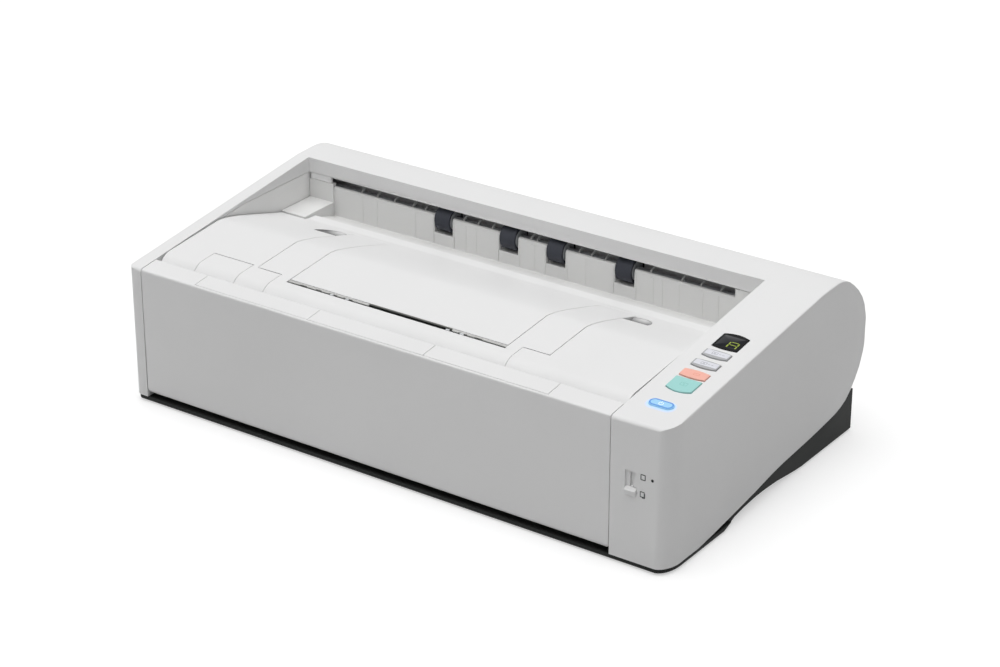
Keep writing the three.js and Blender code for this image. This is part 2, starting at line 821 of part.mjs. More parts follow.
// Holes in the pan's rear wall for the power inlet and the data port
function socketWindows() {
  const from = panRearY - panWall - overrun;
  const low = socketBase - fitGap / 2;
  const high = socketBase + inletSide + fitGap;
  const half = inletSide / 2 + fitGap;
  const portHalf = portWidth / 2 + fitGap;
  return box(inletX - half, inletX + half, from, panRearY + overrun, low, high)
    .add(box(portX - portHalf, portX + portHalf, from, panRearY + overrun, low, high));
}

function rubberFeet() {
  const reach = caseWidth / 2 - footInset;
  const places = [['foot_front_left', -reach, footFrontY], ['foot_front_right', reach, footFrontY],
    ['foot_rear_left', -reach, footRearY], ['foot_rear_right', reach, footRearY]];
  for (const [name, x, y] of places) addPart(name, rodZ(x, y, footRadius, 0, footHeight, 24), rubber);
}

// Side frame: a plate that stands on the pan and carries the shaft ends
function sideFrame(start) {
  const front = returnDepth + seamGap * 2;
  const back = frameBackShares.map(([y, z]) => [y * caseDepth, Math.max(z * caseHeight, frameFoot)]);
  const step = rimFrontY + skirtWall + seamGap;
  const level = sideParting - fitGap;
  const levelY = (sideParting - frontHeight + caseWall) / topSlope;
  const outline = shapeOf([[front, frameFoot], ...back, [step, frameTop], [step, level],
    [levelY, level], [front, topAt(front) - caseWall - fitGap]]);
  const bores = [[feedY, feedZ, shaftRadius], [frontDriveY, driveZ, shaftRadius],
    [rearDriveY, driveZ, shaftRadius], [exitAxisY, exitAxisZ, shaftRadius],
    [exitAxisY, exitPinchZ, pinchShaft]];
  return alongX(outline, start, start + frameWall).subtract(boresX(bores, start, start + frameWall));
}

function rightFrame() {
  const start = frameRight + frameWall / 2;
  return sideFrame(frameRight)
    .add(rodX(jackY, jackZ, shaftRadius - fitGap, start, gearX + gearWidth, boreSteps));
}

// Windows for a set of rollers in a plate between two heights
function rollerWindows(y, radius, width, low, high) {
  const reach = radius + windowRoom;
  const half = width / 2 + windowRoom;
  const window = (x) => box(x - half, x + half, y - reach, y + reach, low - overrun, high + overrun);
  return joinAll(exitXs.map(window));
}

function feedWindow(low, high) {
  const half = feedWidth / 2 + windowRoom;
  return box(trayMid - half, trayMid + half, feedY - feedRadius, feedY + feedRadius,
    low - overrun, high + overrun);
}

function glassWindow(y, low, high) {
  const half = sensorHalf - glassInset + fitGap;
  const reach = sensorWidth / 2 - glassInset / 4 + fitGap;
  return box(trayMid - half, trayMid + half, y - reach, y + reach, low - overrun, high + overrun);
}

// Lower plate of the sheet path with its sloping mouth
function lowerGuide() {
  const under = pathFloor - plateWall;
  const mouthY = trayDepth + fenceReach + 3 * fitGap;
  const mouthEndY = mouthY + mouthRun;
  const rear = turnY - channelWidth - seamGap * 2;
  const section = shapeOf([[mouthY, mouthBase + mouthWall], [mouthY + mouthWall / 2, mouthBase],
    [mouthEndY, under], [rear, under], [rear, pathFloor], [mouthEndY, pathFloor]]);
  const tabFront = feedY + feedRadius + tyreWall;
  return alongX(section, unitLeft + frameWall + seamGap, unitRight - frameWall - seamGap)
    .add(box(guideLeft, guideRight, tabFront, rear, under, pathFloor))
    .subtract(feedWindow(under, pathFloor))
    .subtract(rollerWindows(frontDriveY, driveRadius, driveCollar, under, pathFloor))
    .subtract(rollerWindows(rearDriveY, driveRadius, driveCollar, under, pathFloor))
    .subtract(glassWindow(lowerSensorY, under, pathFloor));
}

// Exit guide: trough floor, guide wall, shaft channel and the drum that the sheet turns around
function exitGuide() {
  const front = unitRearY + seamGap;
  const back = wallY + wallThick;
  const channelBack = back + channelWidth;
  const drumTop = (radius, y) => turnZ + Math.sqrt(radius * radius - (y - turnY) * (y - turnY));
  const angleAt = (radius, y) => THREE.MathUtils.radToDeg(Math.acos((y - turnY) / radius));
  const floorFront = floorZ + floorFall * (wallY - front);
  const foot = floorZ + floorFall * troughRound;
  const outer = shapeOf([[front, pathRoof], [front, floorFront], [wallY - troughRound, foot],
    [wallY - troughRound / 4, foot + troughRound / 4], [wallY, foot + troughRound],
    [wallY, wallTop - wallThick], [wallY + wallThick / 4, wallTop - wallThick / 4],
    [back - wallThick / 4, wallTop], [back, wallTop - wallThick / 4], [back, channelFloor],
    [channelBack, channelFloor],
    ...arc(turnY, turnZ, turnInner, angleAt(turnInner, channelBack), -quarterTurn, 16)]);
  const innerRadius = turnInner - wallThick;
  const innerBack = channelBack + wallThick;
  const inner = shapeOf([[front + wallThick, pathRoof + wallThick],
    [front + wallThick, floorFront - 2 * wallThick],
    [back, floorZ - wallThick], [back, channelFloor - wallThick], [innerBack, channelFloor - wallThick],
    [innerBack, drumTop(innerRadius, innerBack)],
    ...arc(turnY, turnZ, innerRadius, angleAt(innerRadius, innerBack), -quarterTurn, 14)]);
  const shelfEnd = bayLeft + shelfWidth;
  const mirror = bayRight - shelfWidth;
  const ends = [[guideLeft, shelfEnd, tabLip], [mirror, guideRight, rimLip]].flatMap(([from, to, top]) => [
    box(from, to, shelfFrontY + seamGap, back, floorZ - wallThick * 2, shelfHeight),
    box(from, to, wallY - postStand, back, floorZ, top - fitGap),
  ]);
  const half = exitTyreWidth / 2 + windowRoom;
  const windowRear = exitAxisY + exitRadius + windowRoom;
  const windowBase = exitAxisZ - exitRadius - windowRoom / 2;
  const windows = exitXs.map((x) => box(x - half, x + half, wallY - overrun, windowRear,
    windowBase, wallTop + exitRadius));
  const strips = exitXs.flatMap((x) => [-1, 1].map((side) => {
    const middle = x + side * (half + stripWidth);
    return box(middle - stripWidth / 2, middle + stripWidth / 2, wallY - stripStand, wallY + wallThick / 2,
      floorZ, windowBase);
  }));
  return alongX(outer, guideLeft, guideRight)
    .subtract(alongX(inner, guideLeft - overrun, guideRight + overrun))
    .add(joinAll([...ends, ...strips]))
    .subtract(joinAll(windows));
}

// Outer turn guide with the fins that hang in the exit slot
function turnGuide() {
  const outside = turnOuter + wallThick;
  const rear = turnY - channelWidth - seamGap;
  const ring = shapeOf([[rear, pathFloor], [rear, pathFloor - wallThick],
    ...arc(turnY, turnZ, outside, -quarterTurn, turnEndAngle, 18),
    ...arc(turnY, turnZ, turnOuter, turnEndAngle, -quarterTurn, 18)]);
  const finEnd = turnY + turnOuter * Math.cos(THREE.MathUtils.degToRad(turnEndAngle)) + wallThick / 4;
  const finTop = exitPinchZ - pinchShaft - fitGap;
  const half = exitTyreWidth / 2 + windowRoom;
  const fins = [];
  const count = Math.floor((guideRight - guideLeft - 2 * shelfWidth) / finPitch);
  for (let i = 0; i <= count; i += 1) {
    const x = guideLeft + shelfWidth + i * finPitch;
    const clear = exitXs.every((roller) => Math.abs(x - roller) > half);
    if (clear) fins.push(box(x, x + finWall, finEnd - finReach, finEnd, finTop - finHeight, finTop));
  }
  return alongX(ring, guideLeft, guideRight).add(joinAll(fins));
}

// Top of the front unit from the nose's crown to its rear edge
function unitTop(drop) {
  const points = [[noseY, noseZ + noseRadius - drop], [crestY, crestZ - drop]];
  for (const [y, z] of slopeShares) {
    points.push([crestY + y * (unitRearY - crestY), crestZ - z * (crestZ - unitRearZ) - drop]);
  }
  return points;
}

// A layer of the unit's top between two depths and two places
function topBand(upper, lower, from, to, start, end) {
  const outline = shapeOf([...unitTop(upper), ...unitTop(lower).reverse()]);
  return alongX(outline, start, end).intersect(box(start, end, from, to, 0, caseHeight + overrun));
}

// Shell of the nose between two radii, with a flat tail
function noseShell(inner, tailY, start, end) {
  const from = halfTurn + noseTuck;
  const slope = (crestZ - noseZ - noseRadius) / (crestY - noseY);
  const rise = slope * (tailY - noseY);
  const outline = shapeOf([...arc(noseY, noseZ, noseRadius, from, quarterTurn, 10),
    [tailY, noseZ + noseRadius + rise], [tailY, noseZ + inner + rise],
    ...arc(noseY, noseZ, inner, quarterTurn, from, 10)]);
  return alongX(outline, start, end);
}

// Half-round web with a hub that hangs a nose piece on the latch shaft
function noseWeb(start, bore) {
  const outline = shapeOf([[noseY, noseZ],
    ...arc(noseY, noseZ, noseRadius - barShell / 2, halfTurn + noseTuck, quarterTurn, 8)]);
  return alongX(outline, start, start + webWall)
    .add(rodX(noseY, noseZ, hubRadius, start, start + webWall))
    .subtract(rodX(noseY, noseZ, bore, start - overrun, start + webWall + overrun));
}

// Eject surface: nose ends, flat, and the slope down to the trough, with pockets for the support
function ejectSurface() {
  const barLeft = supportMid - supportHalf;
  const barRight = supportMid + supportHalf;
  const low = noseZ - noseRadius - overrun;
  const high = caseHeight + overrun;
  const leverRight = leverLeft + leverWidth;
  const rear = armRearY + fitGap;
  const pocket = (start, end) => topBand(-overrun, armThick + fitGap, barTailY, rear, start, end);
  const seam = (start, end) => rodX(noseY, noseZ, seamRadius() - fitGap, start, end, seamSteps);
  const sides = [-1, 1].map((side) => {
    const near = supportMid + side * (armInner - armGap);
    const far = supportMid + side * (armOuter + armGap);
    const bar = supportMid + side * (supportHalf + fitGap);
    const whole = pocket(Math.min(near, far), Math.max(near, far));
    const outside = [Math.min(bar, far) - overrun, Math.max(bar, far) + overrun];
    const nib = side < 0 ? seam(outside[0], bar) : seam(bar, outside[1]);
    return whole.subtract(nib);
  });
  const base = noseShell(noseRadius - skinDepth, noseY + panWall, unitLeft, unitRight)
    .add(topBand(0, skinDepth, noseY, unitRearY, unitLeft, unitRight));
  const dimples = [-1, 1].map((side) => dimple(supportMid + side * (armOuter + dimpleShift)));
  const shelfLeft = bayLeft + shelfWidth + seamGap;
  const shelfRight = bayRight - shelfWidth - seamGap;
  return base
    .subtract(box(barLeft - fitGap, barRight + fitGap, 0, barTailY + slotWidth, low, high))
    .subtract(box(leverLeft - fitGap, leverRight + fitGap, 0, armFrontY + leverGap, low, high))
    .subtract(joinAll(sides))
    .subtract(joinAll(dimples))
    .subtract(box(unitLeft - overrun, shelfLeft, shelfFrontY, unitRearY + overrun, 0, high))
    .subtract(box(shelfRight, unitRight + overrun, shelfFrontY, unitRearY + overrun, 0, high));
}

// Radius of the curved seam between an arm's front edge and the surface before it
function seamRadius() {
  return Math.hypot(armFrontY - noseY, noseRadius + fitGap);
}

// Finger recess beside an arm: a sharp front edge, then a smooth rise to the rear
function dimple(x) {
  const points = unitTop(0);
  const after = points.findIndex(([y]) => y > dimpleY);
  const [[y0, z0], [y1, z1]] = [points[after - 1], points[after]];
  const fall = (z1 - z0) / (y1 - y0);
  const ball = new THREE.SphereGeometry(1, 20, 12);
  ball.scale(dimpleWidth, dimpleReach, dimpleDepth);
  ball.rotateX(Math.atan(fall));
  return solid(ball.translate(x, dimpleY, z0 + fall * (dimpleY - y0) - fitGap))
    .intersect(box(x - 2 * dimpleWidth, x + 2 * dimpleWidth, dimpleY, dimpleY + 2 * dimpleReach,
      0, caseHeight));
}

// Side plate of the front unit with its arm down to the hinge
function unitSide(start) {
  const top = unitTop(skinDepth + fitGap);
  const noseInner = noseRadius - skinDepth - fitGap;
  const rear = unitRearY - seamGap * 2;
  const rearTop = top[top.length - 1][1];
  const cutTop = shelfFrontY - seamGap;
  const shelfUnder = floorZ - wallThick * 2 - seamGap;
  const heelY = trayDepth + fitGap;
  const frontY = noseY - noseInner * Math.cos(THREE.MathUtils.degToRad(noseTuck));
  const outline = shapeOf([[hingeY - knuckleRadius / 2, hingeZ + knuckleRadius / 2],
    [hingeY + knuckleRadius / 2, hingeZ - knuckleRadius / 2], [feedY, pathRoof], [rear, pathRoof],
    [rear, Math.min(rearTop, shelfUnder)], [cutTop, Math.min(rearTop, shelfUnder)],
    ...top.filter(([y]) => y < cutTop && y > noseY).reverse(),
    ...arc(noseY, noseZ, noseInner, quarterTurn, halfTurn + noseTuck, 8), [frontY, noseZ - noseRadius / 2],
    [apronY, noseZ - noseRadius / 2], [apronY, apronBase], [heelY + knuckleRadius, feedY],
    [heelY, armHeel], [hingeY, hingeZ + knuckleRadius]]);
  const bores = [[hingeY, hingeZ, hingeRadius], [noseY, noseZ, latchRadius],
    [frontDriveY, pinchZ, pinchShaft], [rearDriveY, pinchZ, pinchShaft]];
  return alongX(outline, start, start + unitWall)
    .add(rodX(hingeY, hingeZ, knuckleRadius, start, start + unitWall))
    .subtract(boresX(bores, start, start + unitWall));
}

// Frame of the front unit: path roof, cross walls, side plates and the brackets of the retard roller
function unitFrame() {
  const roofTop = pathRoof + plateWall;
  const rear = unitRearY - seamGap * 2;
  const half = feedWidth / 2 + windowRoom + unitWall;
  const bracket = (start) => box(start, start + unitWall, feedY - hubRadius, feedY + hubRadius,
    roofTop - plateWall / 2, retardZ + hubRadius)
    .subtract(boresX([[feedY, retardZ, retardShaft]], start, start + unitWall));
  const plates = [
    box(unitLeft, unitRight, armHeel, rear, pathRoof, roofTop),
    box(unitLeft, unitRight, noseY, noseY + plateWall, roofTop - fitGap, unitFrontTop),
    box(unitLeft, unitRight, apronY, noseY + plateWall, unitFrontTop - plateWall, unitFrontTop),
    box(unitLeft, unitRight, apronY, apronY + plateWall, apronBase, unitFrontTop),
    box(unitLeft, unitRight, rear - plateWall, rear, roofTop - fitGap, unitFrontTop),
  ];
  return joinAll(plates)
    .subtract(feedWindow(pathRoof, roofTop))
    .subtract(rollerWindows(frontDriveY, pinchRadius, driveCollar, pathRoof, roofTop))
    .subtract(rollerWindows(rearDriveY, pinchRadius, driveCollar, pathRoof, roofTop))
    .subtract(glassWindow(upperSensorY, pathRoof, roofTop))
    .add(unitSide(unitLeft))
    .add(unitSide(unitRight - unitWall))
    .subtract(shelfSweep(unitLeft - overrun, bayLeft + shelfWidth + seamGap))
    .subtract(shelfSweep(bayRight - shelfWidth - seamGap, unitRight + overrun))
    .add(bracket(trayMid - half - unitWall))
    .add(bracket(trayMid + half));
}

// Room that the opening unit leaves at its rear ends, so that it swings up in front of the fixed shelves
function shelfSweep(start, end) {
  const reach = Math.hypot(shelfFrontY - hingeY, floorZ - 2 * wallThick - hingeZ) - seamGap;
  return box(start, end, feedY, unitRearY + overrun, 0, floorZ)
    .subtract(rodX(hingeY, hingeZ, reach, start - overrun, end + overrun, sweepSteps));
}

// U-shaped support: the middle of the nose as its bar, and two arms let into the eject surface
function ejectSupport() {
  const left = supportMid - supportHalf;
  const right = supportMid + supportHalf;
  const bar = noseShell(noseRadius - barShell, barTailY, left, right);
  const webs = [left, supportMid, right - webWall].map((start) => noseWeb(start, supportBore));
  const arms = [-1, 1].flatMap((side) => {
    const near = supportMid + side * armInner;
    const far = supportMid + side * armOuter;
    const end = supportMid + side * supportHalf;
    const [low, high] = [Math.min(near, far), Math.max(near, far)];
    const strip = topBand(0, armThick, noseY, armRearY, Math.min(near, end), Math.max(near, end));
    const arm = topBand(0, armThick, barTailY, armRearY, low, high)
      .subtract(rodX(noseY, noseZ, seamRadius(), low - overrun, high + overrun, seamSteps));
    return [strip, arm];
  });
  return joinAll([bar, ...webs, ...arms]);
}

function openLever() {
  const right = leverLeft + leverWidth;
  return noseShell(noseRadius - barShell, armFrontY, leverLeft, right)
    .add(noseWeb(leverLeft, latchRadius + fitGap))
    .add(noseWeb(right - webWall, latchRadius + fitGap));
}

// Latch shaft through the nose with a hook near each end
function latchShaft() {
  const left = unitLeft + unitWall + fitGap;
  const right = unitRight - unitWall - fitGap - hookWall;
  const hook = (start) => {
    const toe = pathRoof + plateWall + hookStand;
    const outline = shapeOf([[noseY - latchRadius, noseZ], [noseY + hubRadius, noseZ + latchRadius],
      [noseY + hookLean, (noseZ + toe) / 2], [noseY + hookLean + hookBreadth, toe + hookBreadth],
      [noseY + hookLean + hookBreadth / 2, toe], [noseY + hookLean - hookBreadth / 2, toe],
      [noseY + plateWall + seamGap, unitFrontTop]]);
    return alongX(outline, start, start + hookWall);
  };
  return rodX(noseY, noseZ, latchRadius, unitLeft + fitGap, unitRight - fitGap)
    .add(hook(left))
    .add(hook(right));
}

// Room at the tray's lower corners for the front unit's hinge arms
function hingeNotches(from) {
  return box(trayLeft - overrun, trayLeft + notchWidth, from, trayDepth + overrun, 0, notchTop)
    .add(box(trayRight - notchWidth, trayRight + overrun, from, trayDepth + overrun, 0, notchTop));
}

// Front cover and feed tray: shallow tub, thick beam around the hinge rod, and a lip at the top
function feedTray() {
  const high = topAt(trayDepth) + overrun;
  const heel = arc(trayHeel, trayFloor + trayHeel, trayHeel, halfTurn + quarterTurn, halfTurn, roundSteps);
  const section = shapeOf([...heel, [0, frontHeight - trayRound],
    [trayRound / 4, frontHeight - trayRound / 4],
    [trayRound, topAt(trayRound)], [trayDepth, topAt(trayDepth)], [trayDepth, trayFloor]]);
  const face = new THREE.Shape();
  face.moveTo(trayLeft + trayCorner, trayFloor);
  face.lineTo(trayRight - trayCorner, trayFloor);
  face.absarc(trayRight - trayCorner, trayFloor + trayCorner, trayCorner, -Math.PI / 2, 0, false);
  face.lineTo(trayRight, high);
  face.lineTo(trayLeft, high);
  face.lineTo(trayLeft, trayFloor + trayCorner);
  face.absarc(trayLeft + trayCorner, trayFloor + trayCorner, trayCorner, Math.PI, Math.PI * 1.5, false);
  const lipBase = frontHeight - lipDrop;
  const ribs = [-1, 1].map((side) => {
    const x = trayMid + side * (capHalf - 4 * ribWidth);
    return box(x, x + ribWidth, trayWall / 2, lipFrontWall, beamTop - trayWall, lipBase);
  });
  return alongX(section, trayLeft, trayRight)
    .intersect(alongY(face, -overrun, trayDepth + overrun))
    .subtract(box(trayLeft + trayWall, trayRight - trayWall, trayWall, trayDepth + overrun, beamTop, lipBase))
    .subtract(box(trayMid - capHalf - fitGap, trayMid + capHalf + fitGap, lipFrontWall, trayDepth + overrun,
      beamTop, high))
    .add(joinAll(ribs))
    .subtract(rodX(hingeY, hingeZ, hingeRadius + fitGap, trayLeft - overrun, trayRight + overrun))
    .subtract(hingeNotches(trayWall + fitGap));
}

// Inner plate of the tray, with a slot for each guide's stem and the pinion's pin
function feedPlate() {
  const front = trayDepth - plateThick;
  const left = trayLeft + trayWall + fitGap;
  const right = trayRight - trayWall - fitGap;
  const top = frontHeight - lipDrop - fitGap;
  const slot = (side) => {
    const z = pinionZ - side * (pinionRadius + fitGap + rackHeight / 2);
    const outer = trayMid + side * (guideHalf + stemInset + stemWidth + fitGap);
    const inner = trayMid + side * (guideHalf + stemInset - guideTravel - fitGap);
    return box(Math.min(outer, inner), Math.max(outer, inner), front - overrun, trayDepth + overrun,
      z - rackHeight / 2 - fitGap, z + rackHeight / 2 + fitGap);
  };
  return box(left, right, front, trayDepth, beamTop + fitGap, top)
    .subtract(hingeNotches(front - overrun))
    .subtract(slot(-1))
    .subtract(slot(1))
    .add(rodY(trayMid, pinionZ, pinionPin, front - fitGap - rackDepth, front + plateThick / 2, 12));
}

// Top of an extension, flush with the lip and sloping as it does
function lipCap(half) {
  const base = frontHeight - lipDrop + fitGap;
  const from = lipFrontWall + lipSeam;
  const section = shapeOf([[from, base], [trayDepth, base], [trayDepth, topAt(trayDepth)],
    [from, topAt(from)]]);
  return alongX(section, trayMid - half, trayMid + half);
}

function trayExtension() {
  const lipBase = frontHeight - lipDrop + fitGap;
  const front = lipFrontWall + lipSeam;
  const half = capHalf - extensionInset;
  const slack = (extensionThick - endPlateThick) / 2 - fitGap;
  const pocketHalf = endCapHalf - endPlateInset + fitGap;
  return lipCap(capHalf)
    .add(box(trayMid - half, trayMid + half, front, front + extensionThick, extensionBase, lipBase + fitGap))
    .subtract(box(trayMid - pocketHalf, trayMid + pocketHalf, front + slack, front + extensionThick - slack,
      endPlateBase - fitGap, caseHeight))
    .subtract(box(trayMid - endCapHalf - fitGap, trayMid + endCapHalf + fitGap, front - overrun,
      trayDepth + overrun, lipBase - fitGap, caseHeight));
}

function trayExtensionEnd() {
  const lipBase = frontHeight - lipDrop + fitGap;
  const front = lipFrontWall + lipSeam + (extensionThick - endPlateThick) / 2;
  const half = endCapHalf - endPlateInset;
  return lipCap(endCapHalf)
    .add(box(trayMid - half, trayMid + half, front, front + endPlateThick, endPlateBase, lipBase + fitGap));
}

// Paper guide: fence and foot on the plate, stem through its slot and rack bar behind it
function paperGuide(side) {
  const span = (a, b) => [Math.min(a, b), Math.max(a, b)];
  const face = trayDepth + fitGap;
  const inner = trayMid + side * guideHalf;
  const z = pinionZ - side * (pinionRadius + fitGap + rackHeight / 2);
  const [low, high] = [z - rackHeight / 2, z + rackHeight / 2];
  const rackBack = trayDepth - plateThick - fitGap;
  const stemNear = inner + side * stemInset;
  return box(...span(inner, inner + side * fenceWall), face, face + fenceReach, fenceBase, fenceTop)
    .add(box(...span(inner, inner + side * guideFoot), face, face + guideFootWall, fenceBase + panLap,
      Math.max(fenceTop - panLap, rackTop - fitGap)))
    .add(box(...span(stemNear, stemNear + side * stemWidth), rackBack - rackDepth, face + fitGap, low, high))
    .add(box(...span(stemNear + side * stemWidth, trayMid - side * rackPast), rackBack - rackDepth, rackBack,
      low, high));
}

function guidePinion() {
  const back = trayDepth - plateThick - fitGap;
  return rodY(trayMid, pinionZ, pinionRadius, back - rackDepth, back, 24)
    .subtract(rodY(trayMid, pinionZ, pinionPin + fitGap, back - rackDepth - overrun, back + overrun, 12));
}

// Drive shafts carry their pulleys in the bay right of the frame
function collars(width, radius) {
  return exitXs.map((x) => [x - width / 2, x + width / 2, radius]);
}

function driveShafts() {
  const end = pulleyX + pulleyWidth + fitGap;
  const hub = feedRadius - tyreWall - fitGap;
  const feedHalf = feedWidth / 2;
  addPart('feed_shaft', spindle(feedY, feedZ, shaftLeft, end, shaftRadius,
    [[trayMid - feedHalf, trayMid + feedHalf, hub]]), nylon);
  addPart('feed_tyre', ringX(feedY, feedZ, hub + fitGap, feedRadius,
    trayMid - feedHalf, trayMid + feedHalf), rubber);
  addPart('front_drive_shaft', spindle(frontDriveY, driveZ, shaftLeft, end, shaftRadius,
    [...collars(driveCollar, driveRadius), [pulleyX, pulleyX + pulleyWidth, pulleyRadius]]), steel);
  addPart('rear_drive_shaft', spindle(rearDriveY, driveZ, shaftLeft, gearX, shaftRadius,
    collars(driveCollar, driveRadius)), steel);
  addPart('exit_shaft', spindle(exitAxisY, exitAxisZ, shaftLeft, gearX + gearWidth + fitGap, shaftRadius,
    collars(exitTyreWidth, exitRadius - tyreWall)), nylon);
  exitXs.forEach((x, i) => {
    const half = exitTyreWidth / 2;
    addPart(`exit_tyre_${i + 1}`, ringX(exitAxisY, exitAxisZ, exitRadius - tyreWall + fitGap, exitRadius,
      x - half, x + half), rubber);
  });
}

function pinchShafts() {
  const left = unitLeft + fitGap;
  const right = unitRight - fitGap;
  addPart('front_pinch_shaft', spindle(frontDriveY, pinchZ, left, right, pinchShaft,
    collars(driveCollar, pinchRadius)), steel);
  addPart('rear_pinch_shaft', spindle(rearDriveY, pinchZ, left, right, pinchShaft,
    collars(driveCollar, pinchRadius)), steel);
  const exitRight = frameRight + frameWall + seamGap;
  addPart('exit_pinch_shaft', spindle(exitAxisY, exitPinchZ, shaftLeft, exitRight, pinchShaft,
    collars(exitTyreWidth, exitPinchRadius)), steel);
  const half = feedWidth / 2 + windowRoom;
  const reach = half + 2 * unitWall;
  addPart('retard_roller', spindle(feedY, retardZ, trayMid - reach, trayMid + reach, retardShaft,
    [[trayMid - feedWidth / 2, trayMid + feedWidth / 2, retardRadius]]), rubber);
}

function pulley(y, z, start, radius, bore) {
  return rodX(y, z, radius, start, start + pulleyWidth, wheelSteps)
    .subtract(boresX([[y, z, bore]], start, start + pulleyWidth));
}

// Outline around a set of circles [y, z, radius], each grown by a margin
function hullOf(circles, margin) {
  const points = circles.flatMap(([y, z, r]) => arc(y, z, r + margin, 0, 2 * halfTurn, 36));
  points.sort((p, q) => p[0] - q[0] || p[1] - q[1]);
  const turnsIn = (o, a, b) => (a[0] - o[0]) * (b[1] - o[1]) <= (a[1] - o[1]) * (b[0] - o[0]);
  const half = (list) => {
    const chain = [];
    for (const point of list) {
      while (chain.length > 1 && turnsIn(chain.at(-2), chain.at(-1), point)) chain.pop();
      chain.push(point);
    }
    return chain.slice(0, -1);
  };
  return shapeOf([...half(points), ...half([...points].reverse())]);
}

function belt(circles, start) {
  const from = start + (pulleyWidth - beltWidth) / 2;
  return alongX(hullOf(circles, fitGap + beltThick), from, from + beltWidth)
    .subtract(alongX(hullOf(circles, fitGap), from - overrun, from + beltWidth + overrun));
}

// Spur gear about (y, z), turned by a share of one tooth
function gear(y, z, start, shift) {
  const step = (Math.PI * 2) / gearTeeth;
  const points = [];
  for (let i = 0; i < gearTeeth; i += 1) {
    const middle = step * (i + shift);
    const spots = [[-toothRootShare, -rootDepth], [-toothTipShare, toothHeight], [toothTipShare, toothHeight],
      [toothRootShare, -rootDepth]];
    for (const [turnShare, lift] of spots) {
      const angle = middle + turnShare * step;
      points.push([y + (gearPitch + lift) * Math.cos(angle), z + (gearPitch + lift) * Math.sin(angle)]);
    }
  }
  return alongX(shapeOf(points), start, start + gearWidth);
}

function beltDrive() {
  const small = smallPulley;
  const reach = motorSide / 2;
  const gearEnd = gearX + gearWidth;
  addPart('drive_motor', box(motorX, motorX + motorLength, motorY - reach, motorY + reach,
    motorZ - reach, motorZ + reach)
    .subtract(boresX([[motorY, motorZ, motorShaft]], motorX, motorX + motorLength / 2)), steel);
  addPart('motor_pulley', spindle(motorY, motorZ, pulleyX - fitGap, motorX + motorLength / 3, motorShaft,
    [[pulleyX, pulleyX + pulleyWidth, small]]), nylon);
  addPart('feed_pulley', pulley(feedY, feedZ, pulleyX, pulleyRadius, shaftRadius), nylon);
  const track = pulleyX + pulleyWidth - fitGap;
  addPart('rear_pulley', pulley(rearDriveY, driveZ, pulleyX, pulleyRadius, shaftRadius)
    .add(rodX(rearDriveY, driveZ, small, track, trackX + pulleyWidth - fitGap, wheelSteps))
    .subtract(boresX([[rearDriveY, driveZ, shaftRadius]], pulleyX, gearX)), nylon);
  addPart('drive_belt', belt([[feedY, feedZ, pulleyRadius], [frontDriveY, driveZ, pulleyRadius],
    [rearDriveY, driveZ, pulleyRadius], [motorY, motorZ, small]], pulleyX), dark);
  addPart('exit_belt', belt([[rearDriveY, driveZ, small], [jackY, jackZ, small]],
    trackX - fitGap), dark);
  const toothAngle = jackAngle / ((Math.PI * 2) / gearTeeth);
  addPart('jack_gear', gear(jackY, jackZ, gearX, toothAngle + gearTeeth / 2 + 0.5)
    .add(rodX(jackY, jackZ, small, trackX - fitGap, gearX + fitGap, wheelSteps))
    .subtract(rodX(jackY, jackZ, shaftRadius, trackX - overrun, gearEnd + overrun, boreSteps)), nylon);
  addPart('exit_gear', gear(exitAxisY, exitAxisZ, gearX, toothAngle)
    .subtract(boresX([[exitAxisY, exitAxisZ, shaftRadius]], gearX, gearEnd)), nylon);
}

// Line sensors with their glasses, one under the path and one above it
function lineSensors() {
  const reach = sensorWidth / 2;
  const glassHalf = sensorHalf - glassInset;
  const glassReach = reach - glassInset / 4;
  const glassBase = pathFloor - glassThick - fitGap / 2;
  const lowerTop = glassBase - fitGap;
  addPart('lower_sensor', box(trayMid - sensorHalf, trayMid + sensorHalf, lowerSensorY - reach,
    lowerSensorY + reach, lowerTop - sensorHeight, lowerTop), dark);
  addPart('lower_glass', box(trayMid - glassHalf, trayMid + glassHalf, lowerSensorY - glassReach,
    lowerSensorY + glassReach, glassBase, glassBase + glassThick), glass);
  const roof = pathRoof + fitGap / 2;
  const sensorBase = pathRoof + plateWall + fitGap;
  addPart('upper_glass', box(trayMid - glassHalf, trayMid + glassHalf, upperSensorY - glassReach,
    upperSensorY + glassReach, roof, roof + glassThick), glass);
  addPart('upper_sensor', box(trayMid - sensorHalf, trayMid + sensorHalf, upperSensorY - reach,
    upperSensorY + reach, sensorBase, sensorBase + sensorHeight), dark);
}

function boards() {
  const top = boardZ + boardThick;
  const y = mainFrontY + mainLength / 2;
  const half = chipSide / 2;
  const chips = chipShares.map((share) => {
    const x = mainLeft + share * mainWidth;
    return box(x - half, x + half, y - half, y + half, boardZ, top + chipHeight);
  });
  addPart('main_board', box(mainLeft, mainLeft + mainWidth, mainFrontY, mainFrontY + mainLength, boardZ, top)
    .add(joinAll(chips)), boardGreen);
  const boardShape = box(-panelBoardHalf, panelBoardHalf, panelBoardStart, panelBoardEnd,
    panelBoardTop - boardThick, panelBoardTop);
  addPart('panel_board', onPanel(boardShape), boardGreen);
}

